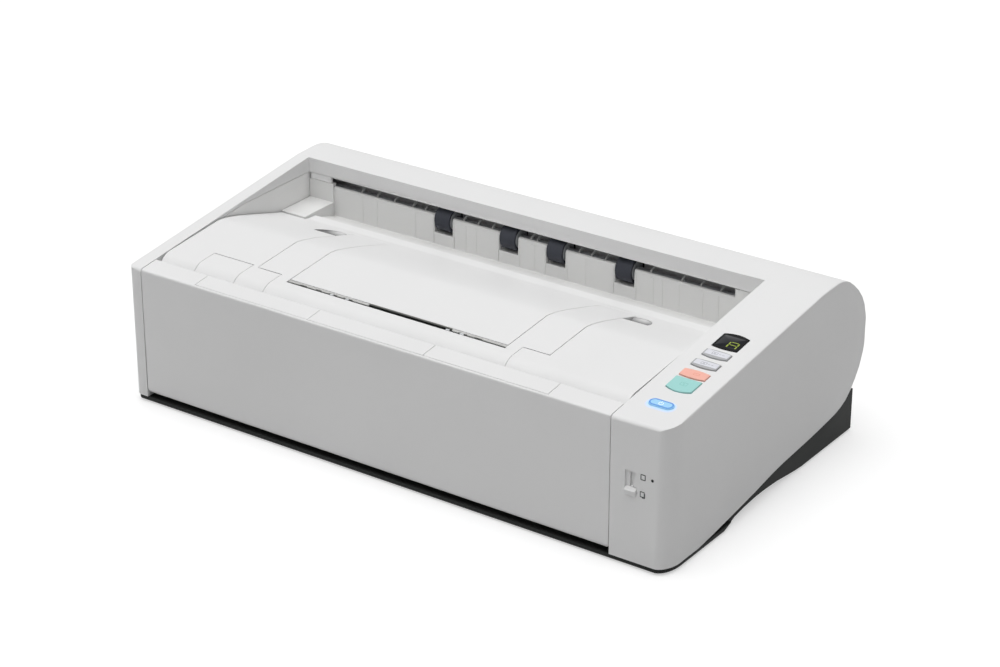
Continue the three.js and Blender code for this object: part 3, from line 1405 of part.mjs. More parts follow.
function sockets() {
  const top = socketBase + inletSide;
  const middle = socketBase + inletSide / 2;
  const mouth = panRearY - fitGap;
  const front = mouth - socketDepth;
  const deep = mouth - socketHole;
  const half = inletSide / 2;
  addPart('power_inlet', box(inletX - half, inletX + half, front, mouth, socketBase, top)
    .subtract(rodY(inletX, middle, inletBore, deep, mouth + overrun))
    .add(rodY(inletX, middle, inletPin, deep - fitGap, deep + tongueLength, 10)), dark);
  const portHalf = portWidth / 2;
  const [wide, high] = [portHoleWidth / 2, portHoleHeight / 2];
  addPart('data_port', box(portX - portHalf, portX + portHalf, front, mouth, socketBase, top)
    .subtract(box(portX - wide, portX + wide, deep, mouth + overrun, middle - high, middle + high))
    .add(box(portX - wide / 2, portX + wide / 2, deep - fitGap, deep + tongueLength,
      middle - high / 3, middle + high / 3)), steel);
}

// Panel keys: each cap stands in its hole, and its flange is caught under the casing
function keys() {
  const panel = new THREE.Group();
  panel.position.set(panelX, 0, frontHeight);
  panel.rotation.x = panelTilt;
  const flangeTop = -caseWall - fitGap;
  for (const key of panelKeys()) {
    const cap = keySlab(key, 0, flangeTop - keyFlangeThick, key.stand,
      Math.min(keyRound / 2, key.stand))
      .add(keySlab(key, keyFlange, flangeTop - keyFlangeThick, flangeTop));
    addPart(key.name, cap, key.look, panel);
  }
  scanner.add(panel);
}

// Slide switch: ridged knob in the front wall's recess, stem through the slot, plate behind that closes it
function feedSwitch() {
  const middle = switchLeft + switchWidth / 2;
  const half = switchWidth / 2 - fitGap;
  const stemHalf = stemSlot / 2 - fitGap;
  const base = switchBase + fitGap;
  const top = base + knobHeight;
  const stemBase = switchBase + switchSink + fitGap;
  const flangeY = caseWall + fitGap;
  const sunk = switchSink - fitGap;
  const travel = switchLength - 2 * switchSink - stemHeight - 2 * fitGap;
  const knob = shapeOf([[sunk, base], [-fitGap, base], [-fitGap, base - knobDrop],
    [-2 * fitGap, base - knobDrop], [-knobStand, top - 2 * knobRidge], [-knobStand, top - knobRidge],
    [sunk, top]]);
  return alongX(knob, middle - half, middle + half)
    .add(box(middle - stemHalf, middle + stemHalf, switchSink - 2 * fitGap, flangeY + fitGap, stemBase,
      stemBase + stemHeight))
    .add(box(middle - half, middle + half, flangeY, flangeY + knobFlange, stemBase - travel - fitGap,
      switchBase + switchLength - switchSink + fitGap));
}

addPart('outer_casing', outerCasing(), white);
addPart('base_pan', basePan(), black);
rubberFeet();
addPart('left_side_frame', sideFrame(frameLeft - frameWall), innerWhite);
addPart('right_side_frame', rightFrame(), innerWhite);
addPart('lower_guide', lowerGuide(), innerWhite);
addPart('exit_guide', exitGuide(), innerWhite);
addPart('turn_guide', turnGuide(), dark);
addPart('eject_surface', ejectSurface(), white);
addPart('unit_frame', unitFrame(), innerWhite);
addPart('eject_support', ejectSupport(), white);
addPart('open_lever', openLever(), white);
addPart('latch_shaft', latchShaft(), steel);
addPart('feed_tray', feedTray(), white);
addPart('feed_plate', feedPlate(), innerWhite);
addPart('tray_extension', trayExtension(), white);
addPart('tray_extension_end', trayExtensionEnd(), white);
addPart('left_paper_guide', paperGuide(-1), innerWhite);
addPart('right_paper_guide', paperGuide(1), innerWhite);
addPart('guide_pinion', guidePinion(), nylon);
addPart('hinge_rod', rodX(hingeY, hingeZ, hingeRadius, bayLeft - overrun, bayRight + overrun), steel);
driveShafts();
pinchShafts();
beltDrive();
lineSensors();
boards();
sockets();
keys();
addPart('feed_switch', feedSwitch(), white);

export default scanner;
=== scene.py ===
import math
import bmesh
import bpy
import numpy as np
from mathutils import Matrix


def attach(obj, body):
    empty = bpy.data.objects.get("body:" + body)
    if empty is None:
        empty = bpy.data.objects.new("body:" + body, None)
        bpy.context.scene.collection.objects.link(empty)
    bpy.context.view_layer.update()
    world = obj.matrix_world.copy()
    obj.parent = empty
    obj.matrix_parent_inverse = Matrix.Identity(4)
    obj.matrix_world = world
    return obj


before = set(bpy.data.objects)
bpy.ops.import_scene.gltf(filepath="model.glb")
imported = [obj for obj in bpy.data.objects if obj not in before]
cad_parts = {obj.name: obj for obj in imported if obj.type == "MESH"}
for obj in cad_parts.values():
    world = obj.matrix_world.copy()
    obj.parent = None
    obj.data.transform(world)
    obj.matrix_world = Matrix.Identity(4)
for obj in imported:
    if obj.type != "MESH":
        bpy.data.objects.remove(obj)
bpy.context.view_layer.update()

# Camera: a studio camera in front of the scanner's right corner, looking down at it
# through a long lens. Its place is worked out from the scanner's corners in the picture.
camera_place = (0.94258, -1.34125, 0.83552)
camera_down, camera_turn = 25.341, 34.968
camera_data = bpy.data.cameras.new("studio_camera")
camera_data.sensor_width = 36
camera_data.lens = 98.33
camera_data.clip_end = 60
camera = bpy.data.objects.new("studio_camera", camera_data)
camera.location = camera_place
camera.rotation_euler = (math.radians(90 - camera_down), 0, math.radians(camera_turn))
bpy.context.collection.objects.link(camera)
bpy.context.scene.camera = camera
bpy.context.scene.view_settings.view_transform = "Standard"


# Studio: a pale paper floor, a wide soft light above and weak ones from the front left and
# from the right, in a white room. The floor and the room show white behind the scanner.
def light_of(red, green, blue):
    """Colour picker values of 0 to 255 as the linear values that a shader takes."""
    parts = np.array([red, green, blue]) / 255
    low, high = parts / 12.92, ((parts + 0.055) / 1.055) ** 2.4
    return (*np.where(parts <= 0.04045, low, high), 1)


def soft_sun(name, strength, spread, tilt, turn):
    """A lamp far away that is as wide as the angle spread, so its shadows are soft."""
    lamp = bpy.data.lights.new(name, "SUN")
    lamp.energy = strength
    lamp.angle = math.radians(spread)
    holder = bpy.data.objects.new(name, lamp)
    holder.rotation_euler = (math.radians(tilt), 0, math.radians(turn))
    bpy.context.collection.objects.link(holder)


def put_in(tree, socket, value):
    """Sets an input: a number or a colour as it is, another node's output by a link."""
    if isinstance(value, bpy.types.NodeSocket):
        tree.links.new(value, socket)
    else:
        socket.default_value = value


def maths(tree, operation, first, second=0):
    """One step of arithmetic between two values, each a number or another node's output."""
    step = tree.nodes.new("ShaderNodeMath")
    step.operation = operation
    put_in(tree, step.inputs[0], first)
    put_in(tree, step.inputs[1], second)
    return step.outputs[0]


def ranged(tree, value, start, end, low, high):
    """A value that runs from low to high as another one runs from start to end."""
    step = tree.nodes.new("ShaderNodeMapRange")
    for socket, bound in (("From Min", start), ("From Max", end), ("To Min", low),
                          ("To Max", high)):
        step.inputs[socket].default_value = bound
    tree.links.new(value, step.inputs["Value"])
    return step.outputs[0]


def seen_directly(tree):
    """1 for what the camera, a mirror or a glass sees, 0 for light that falls on things."""
    path = tree.nodes.new("ShaderNodeLightPath").outputs
    either = maths(tree, "MAXIMUM", path["Is Camera Ray"], path["Is Glossy Ray"])
    return maths(tree, "MAXIMUM", either, path["Is Transmission Ray"])


soft_sun("top_light", strength=2.52, spread=70, tilt=5, turn=-20)
soft_sun("front_light", strength=0.2, spread=60, tilt=62, turn=-40)
soft_sun("side_light", strength=0.03, spread=60, tilt=62, turn=115)

white = light_of(255, 255, 255)
room = bpy.data.worlds.new("white_room")
bpy.context.scene.world = room
room.use_nodes = True
room_tree = room.node_tree
room_light = room_tree.nodes["Background"]
room_light.inputs["Color"].default_value = white
room_level = ranged(room_tree, seen_directly(room_tree), 0, 1, low=0.12, high=1)
room_tree.links.new(room_level, room_light.inputs["Strength"])

floor_reach = 14
floor_corners = [(-floor_reach, -floor_reach, 0), (floor_reach, -floor_reach, 0),
                 (floor_reach, floor_reach, 0), (-floor_reach, floor_reach, 0)]
floor_mesh = bpy.data.meshes.new("paper_floor")
floor_mesh.from_pydata(floor_corners, [], [(0, 1, 2, 3)])
paper_floor = bpy.data.objects.new("paper_floor", floor_mesh)
bpy.context.collection.objects.link(paper_floor)
paper = bpy.data.materials.new("studio_paper")
paper.use_nodes = True
paper_tree = paper.node_tree
paper_tree.nodes.remove(paper_tree.nodes["Principled BSDF"])
paper_face = paper_tree.nodes.new("ShaderNodeBsdfDiffuse")
paper_face.inputs["Color"].default_value = light_of(200, 200, 200)
paper_glow = paper_tree.nodes.new("ShaderNodeEmission")
paper_glow.inputs["Color"].default_value = white
glow_strength = 0.52
paper_level = maths(paper_tree, "MULTIPLY", seen_directly(paper_tree), glow_strength)
paper_tree.links.new(paper_level, paper_glow.inputs["Strength"])
paper_sum = paper_tree.nodes.new("ShaderNodeAddShader")
paper_tree.links.new(paper_face.outputs[0], paper_sum.inputs[0])
paper_tree.links.new(paper_glow.outputs[0], paper_sum.inputs[1])
paper_tree.links.new(paper_sum.outputs[0], paper_tree.nodes["Material Output"].inputs["Surface"])
floor_mesh.materials.append(paper)


# Outer casing: one white injection moulding in ABS with both rails, the panel and the rim. Its
# mould is spark eroded, which leaves a fine matt grain, and its edges are broken by 0.2 mm.
def spark_grain():
    """Group: fine pits of an eroded mould as a height, and slow tone changes of the moulding."""
    group = bpy.data.node_groups.new("spark_grain", "ShaderNodeTree")
    ends = group.interface
    for socket, value in (("Grain per metre", 1500), ("Tone per metre", 14)):
        entry = ends.new_socket(socket, in_out="INPUT", socket_type="NodeSocketFloat")
        entry.default_value = value
    for socket in ("Height", "Tone"):
        ends.new_socket(socket, in_out="OUTPUT", socket_type="NodeSocketFloat")
    source = group.nodes.new("NodeGroupInput")
    sink = group.nodes.new("NodeGroupOutput")
    place = group.nodes.new("ShaderNodeTexCoord")
    noises = (("Grain per metre", "Height", 3, 0.6), ("Tone per metre", "Tone", 2, 0.5))
    for scale, result, detail, rough in noises:
        noise = group.nodes.new("ShaderNodeTexNoise")
        noise.inputs["Detail"].default_value = detail
        noise.inputs["Roughness"].default_value = rough
        group.links.new(place.outputs["Object"], noise.inputs["Vector"])
        group.links.new(source.outputs[scale], noise.inputs["Scale"])
        group.links.new(noise.outputs["Fac"], sink.inputs[result])
    return group


grain_group = spark_grain()


def between(tree, noise, low, high):
    """A value that runs from low to high over the part of a noise where most of it lies."""
    return ranged(tree, noise, 0.3, 0.7, low, high)


def tinted(tree, factor, first, second, blend="MIX"):
    """A colour that goes from the first one to the second one, or to their product."""
    mix = tree.nodes.new("ShaderNodeMix")
    mix.data_type = "RGBA"
    mix.blend_type = blend
    for socket, value in (("Factor", factor), ("A", first), ("B", second)):
        put_in(tree, mix.inputs[socket], value)
    return mix.outputs["Result"]


def bumped(tree, height, depth):
    """The normal of a surface with this height laid on it, 0.1 mm high at a depth of 1."""
    bump = tree.nodes.new("ShaderNodeBump")
    bump.inputs["Strength"].default_value = depth
    bump.inputs["Distance"].default_value = 0.0001
    tree.links.new(height, bump.inputs["Height"])
    return bump.outputs["Normal"]


def moulded_plastic(name, colour, rough, grain=1500, depth=0.35, drift=4, shine=0.5):
    """Injection moulded plastic: matt grain, a faint drift of tone and of gloss."""
    material = bpy.data.materials.new(name)
    material.use_nodes = True
    tree = material.node_tree
    face = tree.nodes["Principled BSDF"].inputs
    face["Specular IOR Level"].default_value = shine
    marks = tree.nodes.new("ShaderNodeGroup")
    marks.node_tree = grain_group
    marks.inputs["Grain per metre"].default_value = grain
    tone = marks.outputs["Tone"]
    darker = light_of(*[max(part - drift, 0) for part in colour])
    tree.links.new(tinted(tree, tone, light_of(*colour), darker), face["Base Color"])
    tree.links.new(between(tree, tone, rough - 0.04, rough + 0.05), face["Roughness"])
    tree.links.new(bumped(tree, marks.outputs["Height"], depth), face["Normal"])
    return material


def dress(node, material, edge=0.0003):
    """Gives a CAD solid its finish and breaks its sharp edges by a small round."""
    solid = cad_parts[node]
    solid.data.materials.clear()
    solid.data.materials.append(material)
    solid.data.shade_smooth()
    weld = solid.modifiers.new("weld", "WELD")
    weld.merge_threshold = 0.000002
    flat = solid.modifiers.new("flat_faces", "DECIMATE")
    flat.decimate_type = "DISSOLVE"
    flat.angle_limit = math.radians(0.01)
    sharp_from = math.radians(38)
    if edge:
        round_off = solid.modifiers.new("broken_edges", "BEVEL")
        round_off.width = edge
        round_off.segments = 2
        round_off.limit_method = "ANGLE"
        round_off.angle_limit = sharp_from
        round_off.use_clamp_overlap = False
        round_off.harden_normals = False
    else:
        crisp = solid.modifiers.new("crisp_edges", "EDGE_SPLIT")
        crisp.split_angle = sharp_from
    shade = solid.modifiers.new("even_shading", "WEIGHTED_NORMAL")
    shade.keep_sharp = True


casing_white = moulded_plastic("casing_white", (234, 234, 234), 0.5)
dress("outer_casing", casing_white, edge=0.00018)


# Black pan: the lower housing that the casing stands on and is screwed to. It is moulded in
# black ABS with a coarser grain than the casing's.
pan_black = moulded_plastic("pan_black", (30, 32, 31), 0.62, grain=900, depth=0.6, drift=6,
                            shine=0.22)
dress("base_pan", pan_black)


# Feet: soft rubber discs glued under the pan's four corners, so that the scanner doesn't slide
# when a sheet is put in.
def rubber(name, colour, rough=0.85):
    """Rubber that has been handled: no gloss, chalky in places, fine pores."""
    return moulded_plastic(name, colour, rough, grain=1100, depth=0.7, drift=9)


foot_rubber = rubber("foot_rubber", (44, 45, 47))
for foot in ("foot_front_left", "foot_front_right", "foot_rear_left", "foot_rear_right"):
    dress(foot, foot_rubber, 0.0002)


# Inner frames and guides: matt white mouldings screwed into the pan, which carry the shafts and
# lead the sheet. The side frames are a little lighter. The guide that turns the sheet at the
# rear is black, so that it throws no light on the sensors.
inner_white = moulded_plastic("inner_white", (228, 228, 227), 0.55)
for plate in ("lower_guide", "unit_frame"):
    dress(plate, inner_white)
frame_white = moulded_plastic("frame_white", (240, 240, 239), 0.55)
for wall in ("left_side_frame", "right_side_frame"):
    dress(wall, frame_white)
dress("exit_guide", inner_white, edge=0)
guide_black = moulded_plastic("guide_black", (40, 41, 43), 0.6, grain=900)
dress("turn_guide", guide_black)


# Opening front unit with its U-shaped support and its lever: white mouldings, smoother than the
# casing. The two finger recesses beside the support's arms get painted shade on their floors.
def painted_recess_shade(material):
    """Painted shade: darker on what lies below the plane z = plane_height - fall * y, farther than
    recess_from from the support's middle and behind the line recess_front. The painted shade is
    deepest up to dark_until and faint from faint_from on, both measured along y."""
    support_middle, recess_from = -0.017, 0.1155
    plane_height, fall = 0.09695, 0.3008
    recess_front, dark_until, faint_from = 0.0002, 0.0105, 0.017
    tree = material.node_tree
    body_colour = tree.nodes["Principled BSDF"].inputs["Base Color"]
    place = tree.nodes.new("ShaderNodeTexCoord")
    parts = tree.nodes.new("ShaderNodeSeparateXYZ")
    tree.links.new(place.outputs["Object"], parts.inputs[0])
    across, along, up = parts.outputs
    beside = maths(tree, "ABSOLUTE", maths(tree, "ADD", across, -support_middle))
    outside = maths(tree, "GREATER_THAN", beside, recess_from)
    height = maths(tree, "ADD", up, maths(tree, "MULTIPLY", along, fall))
    below = maths(tree, "LESS_THAN", height, plane_height)
    behind = maths(tree, "GREATER_THAN", along, recess_front)
    within = maths(tree, "MULTIPLY", maths(tree, "MULTIPLY", outside, below), behind)
    # painted shade: the colour is multiplied by 0.22 near the recess's front edge, rising to 0.9
    # farther back
    grey = ranged(tree, along, dark_until, faint_from, low=0.22, high=0.9)
    plain = body_colour.links[0].from_socket
    tree.links.new(tinted(tree, within, plain, grey, "MULTIPLY"), body_colour)
    return material


unit_white = moulded_plastic("unit_white", (235, 235, 235), 0.47)
for cover in ("eject_support", "open_lever"):
    dress(cover, unit_white, 0.0002)
# the finger recesses on this surface get painted shade
surface_white = painted_recess_shade(moulded_plastic("surface_white", (235, 235, 235), 0.47))
dress("eject_surface", surface_white, 0.0002)


# Paper exit: short ribs behind the guide wall that lead the sheet over the shaft, and flat ribs
# on the wall itself. They belong to the same moulding as the wall and its floor.
def skin(name, parts, finish, body, capped=True):
    """Closed forms from rows of points: an array of parts, rows, points and x, y, z in
    millimetres, with y from the scanner's front face, which is 122 ahead of the origin. Each row
    is a ring that quads join to the next one, and a fan about its middle closes the first and
    the last ring of each part."""
    parts = np.asarray(parts, float)
    number, rows, points = parts.shape[:3]
    grid = np.arange(rows * points).reshape(rows, points)
    beside = np.roll(grid, -1, axis=1)
    faces = [np.stack([grid[:-1], beside[:-1], beside[1:], grid[1:]], axis=-1).reshape(-1, 4)]
    places = parts.reshape(number, rows * points, 3)
    if capped:
        places = np.concatenate([places, parts[:, [0, -1]].mean(axis=2)], axis=1)
        middle = np.full(points, rows * points)
        faces += [np.stack([beside[0], grid[0], middle], axis=-1),
                  np.stack([grid[-1], beside[-1], middle + 1], axis=-1)]
    first = np.arange(number)[:, None, None] * places.shape[1]
    lists = [(first + corners).reshape(-1, corners.shape[1]).tolist() for corners in faces]
    metres = places.reshape(-1, 3) / 1000 - (0, 0.122, 0)
    mesh = bpy.data.meshes.new(name)
    mesh.from_pydata(metres.tolist(), [], sum(lists, []))
    clean = bmesh.new()
    clean.from_mesh(mesh)
    bmesh.ops.remove_doubles(clean, verts=clean.verts, dist=0.0000005)
    bmesh.ops.recalc_face_normals(clean, faces=clean.faces)
    clean.to_mesh(mesh)
    clean.free()
    mesh.shade_smooth()
    mesh.set_sharp_from_angle(angle=math.radians(36))
    mesh.materials.append(finish)
    piece = bpy.data.objects.new(name, mesh)
    bpy.context.collection.objects.link(piece)
    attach(piece, body)


def carried(profile, path):
    """A flat profile (side, up) carried along a path in a plane of constant x, square to it: each
    point is the path's point plus side along x plus up along the path's normal."""
    path = np.asarray(path, float)
    way = np.gradient(path, axis=0)
    way /= np.linalg.norm(way, axis=1, keepdims=True)
    normal = np.stack([np.zeros(len(way)), -way[:, 2], way[:, 1]], axis=-1)
    side = np.array([1.0, 0, 0])
    profile = np.asarray(profile, float)
    return path[:, None] + profile[None, :, :1] * side + profile[None, :, 1:] * normal[:, None]


def shifted(form, across):
    """Copies of a form, each moved along x by one of the distances."""
    across = np.asarray(across, float)
    return np.asarray(form)[None] + across[:, None, None, None] * (1, 0, 0)


rib_at = [-157.4, -143.7, -128.4, -112.5, -102, -69, -57, -45, -13, -8, 26, 36, 47, 82.5, 106.5,
          121, 136]
rib_path = [(0, 183.7, 100), (0, 183.8, 101.6), (0, 184.4, 102.9), (0, 185.6, 103.7),
            (0, 187.5, 104.3), (0, 190, 105), (0, 193, 106)]
rib_profile = [(-0.45, -0.7), (0.45, -0.7), (0.4, 0.5), (0, 0.65), (-0.4, 0.5)]
skin("exit_ribs", shifted(carried(rib_profile, rib_path), rib_at), inner_white, "main_body")

wall_face, wall_low, wall_high = 181, 81.6, 100
wall_ribs_at = np.array([
    (-156, 1.8), (-142, 0.5), (-108.5, 0.5), (-93.2, 0.4), (-75.4, 0.4), (-65.4, 0.5), (-57, 0.5),
    (-38.4, 0.4), (-20.6, 0.4), (-9.8, 2), (0.2, 0.4), (18, 0.4), (33, 0.5), (55, 0.4),
    (72.8, 0.4), (85.3, 1.5), (92.5, 1.3), (106.3, 0.5), (123, 1.6), (136.1, 0.5)])
middle_x, half_width = wall_ribs_at[:, 0, None, None], wall_ribs_at[:, 1, None, None]
side, out, draft = np.array([(-1, 0.1, 0), (-1, -0.3, 0.15), (1, -0.3, -0.15), (1, 0.1, 0)]).T
wall_ribs = np.zeros((len(wall_ribs_at), 2, len(side), 3))
wall_ribs[..., 0] = middle_x + half_width * side + draft
wall_ribs[..., 1] = wall_face + out
wall_ribs[..., 2] = np.array([wall_low, wall_high])[:, None]
skin("guide_wall_ribs", wall_ribs, inner_white, "main_body")


# Gap between the support's bar and the surface: painted shade below, as grey plates on the gap's
# floor and rear wall; the stepped edge of the surface in short stretches, coloured light grey as
# painted shade on the white moulding; and four leaf springs of bent steel that hold the bar down.
def rounded_outline(half_x, half_y, corner, points=24):
    """Outline with round corners: a circle of the corner's size, its quarters pushed apart, so
    x = (half_x - corner) sign(cos t) + corner cos t, and y likewise with the sine."""
    turn = (np.arange(points) + 0.5) / points * 2 * np.pi
    return np.stack([(half_x - corner) * np.sign(np.cos(turn)) + corner * np.cos(turn),
                     (half_y - corner) * np.sign(np.sin(turn)) + corner * np.sin(turn)], axis=-1)


def flat_plate(x, y, half_x, half_y, corner, low, high, edge=0.1, points=24):
    """A flat plate from low to high whose upper rim is rounded: its outline is drawn in by a
    third of the edge a third below the top, and by all of it at the top."""
    rows = []
    for inset, height in ((0, low), (0, high - edge), (edge / 3, high - edge / 3), (edge, high)):
        outline = rounded_outline(half_x - inset, half_y - inset, max(corner - inset, 0.02), points)
        rows.append(np.column_stack([outline + (x, y), np.full(points, height)]))
    return np.array(rows)


# painted shade: grey plates on the gap's floor and rear wall, where there is only shade
painted_shade_grey = moulded_plastic("painted_shade_grey", (142, 143, 140), 0.7, shine=0.2)
skin("slot_painted_shade", [flat_plate(-16.5, 35.1, 95.8, 1.9, corner=0.3, low=98, high=98.6),
                   flat_plate(-16.5, 37.02, 95.7, 0.15, corner=0.1, low=98.5, high=102.35),
                   flat_plate(-5.2, 37.02, 32.8, 0.15, corner=0.1, low=98.5, high=103.1)],
     painted_shade_grey, "front_unit")
# painted shade: the surface's white edge is coloured light grey for the shade inside the gap
ledge_painted_shade = moulded_plastic("ledge_painted_shade", (204, 204, 202), 0.6)
ledge_ends = [(-112, -94), (-88.5, -81), (-76, -70.5), (-63.5, -58), (-51, -38), (28, 33),
              (39.8, 45.2), (51.4, 79.2)]
skin("slot_ledges", [flat_plate((left + right) / 2, 36.4, (right - left) / 2, 0.85, corner=0.15,
                                low=101.9, high=102.4) for left, right in ledge_ends],
     ledge_painted_shade, "front_unit")
skin("slot_rear_lip", [flat_plate(x, 36.7, half_x, 0.55, corner=0.15, low=101.9, high=102.6)
                       for x, half_x in ((-75, 37), (53.4, 25.7))],
     ledge_painted_shade, "front_unit")


def drawn_steel(name, colour, rough):
    """Bright drawn steel: fine lines along x, so the noise is pulled out along that axis."""
    material = bpy.data.materials.new(name)
    material.use_nodes = True
    tree = material.node_tree
    face = tree.nodes["Principled BSDF"].inputs
    face["Metallic"].default_value = 1
    place = tree.nodes.new("ShaderNodeTexCoord")
    pull = tree.nodes.new("ShaderNodeMapping")
    pull.inputs["Scale"].default_value = (30, 2600, 2600)
    noise = tree.nodes.new("ShaderNodeTexNoise")
    noise.inputs["Scale"].default_value = 1
    tree.links.new(place.outputs["Object"], pull.inputs["Vector"])
    tree.links.new(pull.outputs["Vector"], noise.inputs["Vector"])
    lines = noise.outputs["Fac"]
    darker = light_of(*[part - 20 for part in colour])
    tree.links.new(tinted(tree, lines, light_of(*colour), darker), face["Base Color"])
    tree.links.new(between(tree, lines, rough - 0.08, rough + 0.08), face["Roughness"])
    tree.links.new(bumped(tree, lines, 0.25), face["Normal"])
    return material


spring_steel = drawn_steel("spring_steel", (170, 172, 174), 0.4)
leaf_path = [(0, 33.5, 99), (0, 33.6, 101.6), (0, 34, 102.6), (0, 34.8, 102.9), (0, 35.6, 102.5),
             (0, 36.2, 101.2), (0, 36.5, 99)]
leaf_profile = [(-1.4, -0.12), (1.4, -0.12), (1.4, 0.12), (-1.4, 0.12)]
skin("leaf_springs", shifted(carried(leaf_profile, leaf_path), [-66.8, -54.3, 25.6, 36.6]),
     spring_steel, "front_unit")


# Feed tray, its plates and its paper guides: the front cover in the casing's white ABS, hinged
# along its lower edge, and matt plates inside it. A scale in centimetres, with longer marks at
# every fifth one, is printed in grey on the feed plate.
tray_white = moulded_plastic("tray_white", (234, 234, 234), 0.5)
for plate in ("feed_tray", "tray_extension", "tray_extension_end"):
    dress(plate, tray_white)
for plate in ("feed_plate", "left_paper_guide", "right_paper_guide"):
    dress(plate, inner_white)
scale_print = moulded_plastic("scale_print", (120, 122, 126), 0.5, depth=0.05)
scale_middle, scale_low, plate_face = -15, 66, 15.2
scale_marks = []
for step in range(-13, 14):
    half_height = 2.4 if step % 5 == 0 else 1.3
    mark = flat_plate(scale_middle + 10 * step, scale_low + half_height, 0.25, half_height,
                      corner=0.1, low=0.01, high=0.05, edge=0.01, points=12)
    scale_marks.append(np.stack([mark[..., 0], plate_face + mark[..., 2], mark[..., 1]], axis=-1))
skin("paper_scale", scale_marks, scale_print, "feed_tray")


# Rollers: rings of charcoal rubber, moulded and pushed over the nylon hubs of the exit and feed
# shafts, and the retard roller below the feed roller.
roller_rubber = rubber("roller_rubber", (48, 51, 60), 0.75)
for tyre in ("exit_tyre_1", "exit_tyre_2", "exit_tyre_3", "exit_tyre_4", "feed_tyre",
             "retard_roller"):
    dress(tyre, roller_rubber, 0.0004)


# Shafts, hinge rod and latch shaft: drawn steel, polished along its length, in the side frames'
# bores. The motor's case and the data port's shell are of duller steel.
shaft_steel = drawn_steel("shaft_steel", (186, 188, 190), 0.3)
for rod in ("hinge_rod", "latch_shaft", "front_drive_shaft", "rear_drive_shaft",
            "front_pinch_shaft", "rear_pinch_shaft", "exit_pinch_shaft"):
    dress(rod, shaft_steel, 0.0002)
motor_steel = drawn_steel("motor_steel", (168, 170, 172), 0.4)
for case in ("drive_motor", "data_port"):
    dress(case, motor_steel)


# Pulleys, gears and hubs: moulded in natural nylon and pushed on their shafts, the exit shaft's
# hubs in grey. The belts are black rubber, the power inlet and the sensors' cases dark plastic.
nylon = moulded_plastic("nylon_natural", (212, 209, 199), 0.42, grain=600, depth=0.2)
for wheel in ("feed_shaft", "motor_pulley", "feed_pulley", "rear_pulley", "jack_gear",
              "exit_gear", "guide_pinion"):
    dress(wheel, nylon, 0.00015)
hub_grey = moulded_plastic("hub_grey", (178, 181, 184), 0.5, grain=600, depth=0.2)
dress("exit_shaft", hub_grey, 0.00015)
dark_plastic = moulded_plastic("dark_plastic", (52, 54, 56), 0.6)
for block in ("power_inlet", "lower_sensor", "upper_sensor"):
    dress(block, dark_plastic, 0.0002)
belt_rubber = rubber("belt_rubber", (40, 41, 43))
for belt in ("drive_belt", "exit_belt"):
    dress(belt, belt_rubber, 0.0001)


# Line sensors' glasses: clear float glass strips, ground at their edges and glued over the
# sensors' slots, faintly green in the cut.
sensor_glass = moulded_plastic("sensor_glass", (236, 246, 241), 0.07, grain=250, depth=0.02,
                               drift=6)
sensor_glass.node_tree.nodes["Principled BSDF"].inputs["Transmission Weight"].default_value = 1
for pane in ("lower_glass", "upper_glass"):
    dress(pane, sensor_glass, 0.0002)


# Boards: green glass fibre boards with copper tracks below the lacquer, screwed into the pan and
# under the panel. The main board's parts are cast in black resin.
def lacquered_board(name, parts_from):
    """Tracks as the joints of a brick pattern in lighter green, and black resin above the height
    parts_from."""
    material = moulded_plastic(name, (30, 84, 52), 0.4)
    tree = material.node_tree
    place = tree.nodes.new("ShaderNodeTexCoord")
    tracks = tree.nodes.new("ShaderNodeTexBrick")
    tracks.inputs["Scale"].default_value = 40
    tracks.inputs["Mortar Size"].default_value = 0.012
    tracks.inputs["Color1"].default_value = light_of(30, 84, 52)
    tracks.inputs["Color2"].default_value = light_of(24, 74, 46)
    tracks.inputs["Mortar"].default_value = light_of(86, 132, 78)
    parts = tree.nodes.new("ShaderNodeSeparateXYZ")
    tree.links.new(place.outputs["Object"], tracks.inputs["Vector"])
    tree.links.new(place.outputs["Object"], parts.inputs[0])
    above = maths(tree, "GREATER_THAN", parts.outputs["Z"], parts_from)
    body_colour = tinted(tree, above, tracks.outputs["Color"], light_of(34, 35, 37))
    tree.links.new(body_colour, tree.nodes["Principled BSDF"].inputs["Base Color"])
    return material


board_green = lacquered_board("board_green", parts_from=0.0147)
dress("main_board", board_green, 0.0001)
panel_green = lacquered_board("panel_green", parts_from=0.2)
dress("panel_board", panel_green, 0.0001)


# Parts on the main board: round capacitors in dark sleeves with scored metal tops, and white
# plugs for the wires to the motor, the panel and the sensors. All are soldered to the board.
def turned(profile, x, y, low, points=24):
    """A profile of radius and height turned about an upright axis, starting at the height low."""
    turn = np.arange(points) / points * 2 * np.pi
    rings = [np.column_stack([x + radius * np.cos(turn), y + radius * np.sin(turn),
                              np.full(points, low + height)]) for radius, height in profile]
    return np.array(rings)


board_top = 14.5
sleeve = [(3.1, 0), (3.1, 0.5), (2.9, 0.8), (3.1, 1.1), (3.1, 7.4), (2.9, 7.7), (2.6, 7.6)]
can_top = [(2.6, 7.5), (2.6, 7.62), (1.6, 7.62), (1.4, 7.5), (0.2, 7.5)]
can_at = [(-144, 128), (-136, 128), (-90, 180), (-82, 180), (-24, 132), (12, 176), (20, 176)]
skin("capacitor_sleeves", [turned(sleeve, x, y, board_top) for x, y in can_at], dark_plastic,
     "main_body")
skin("capacitor_tops", [turned(can_top, x, y, board_top) for x, y in can_at], motor_steel,
     "main_body")
plug_at = [(-104, 124), (-92, 124), (-80, 124), (-4, 124), (8, 124), (44, 150), (44, 166)]
plugs = [flat_plate(x, y, 4.4, 2.6, corner=0.4, low=board_top, high=19.4, edge=0.4)
         for x, y in plug_at]
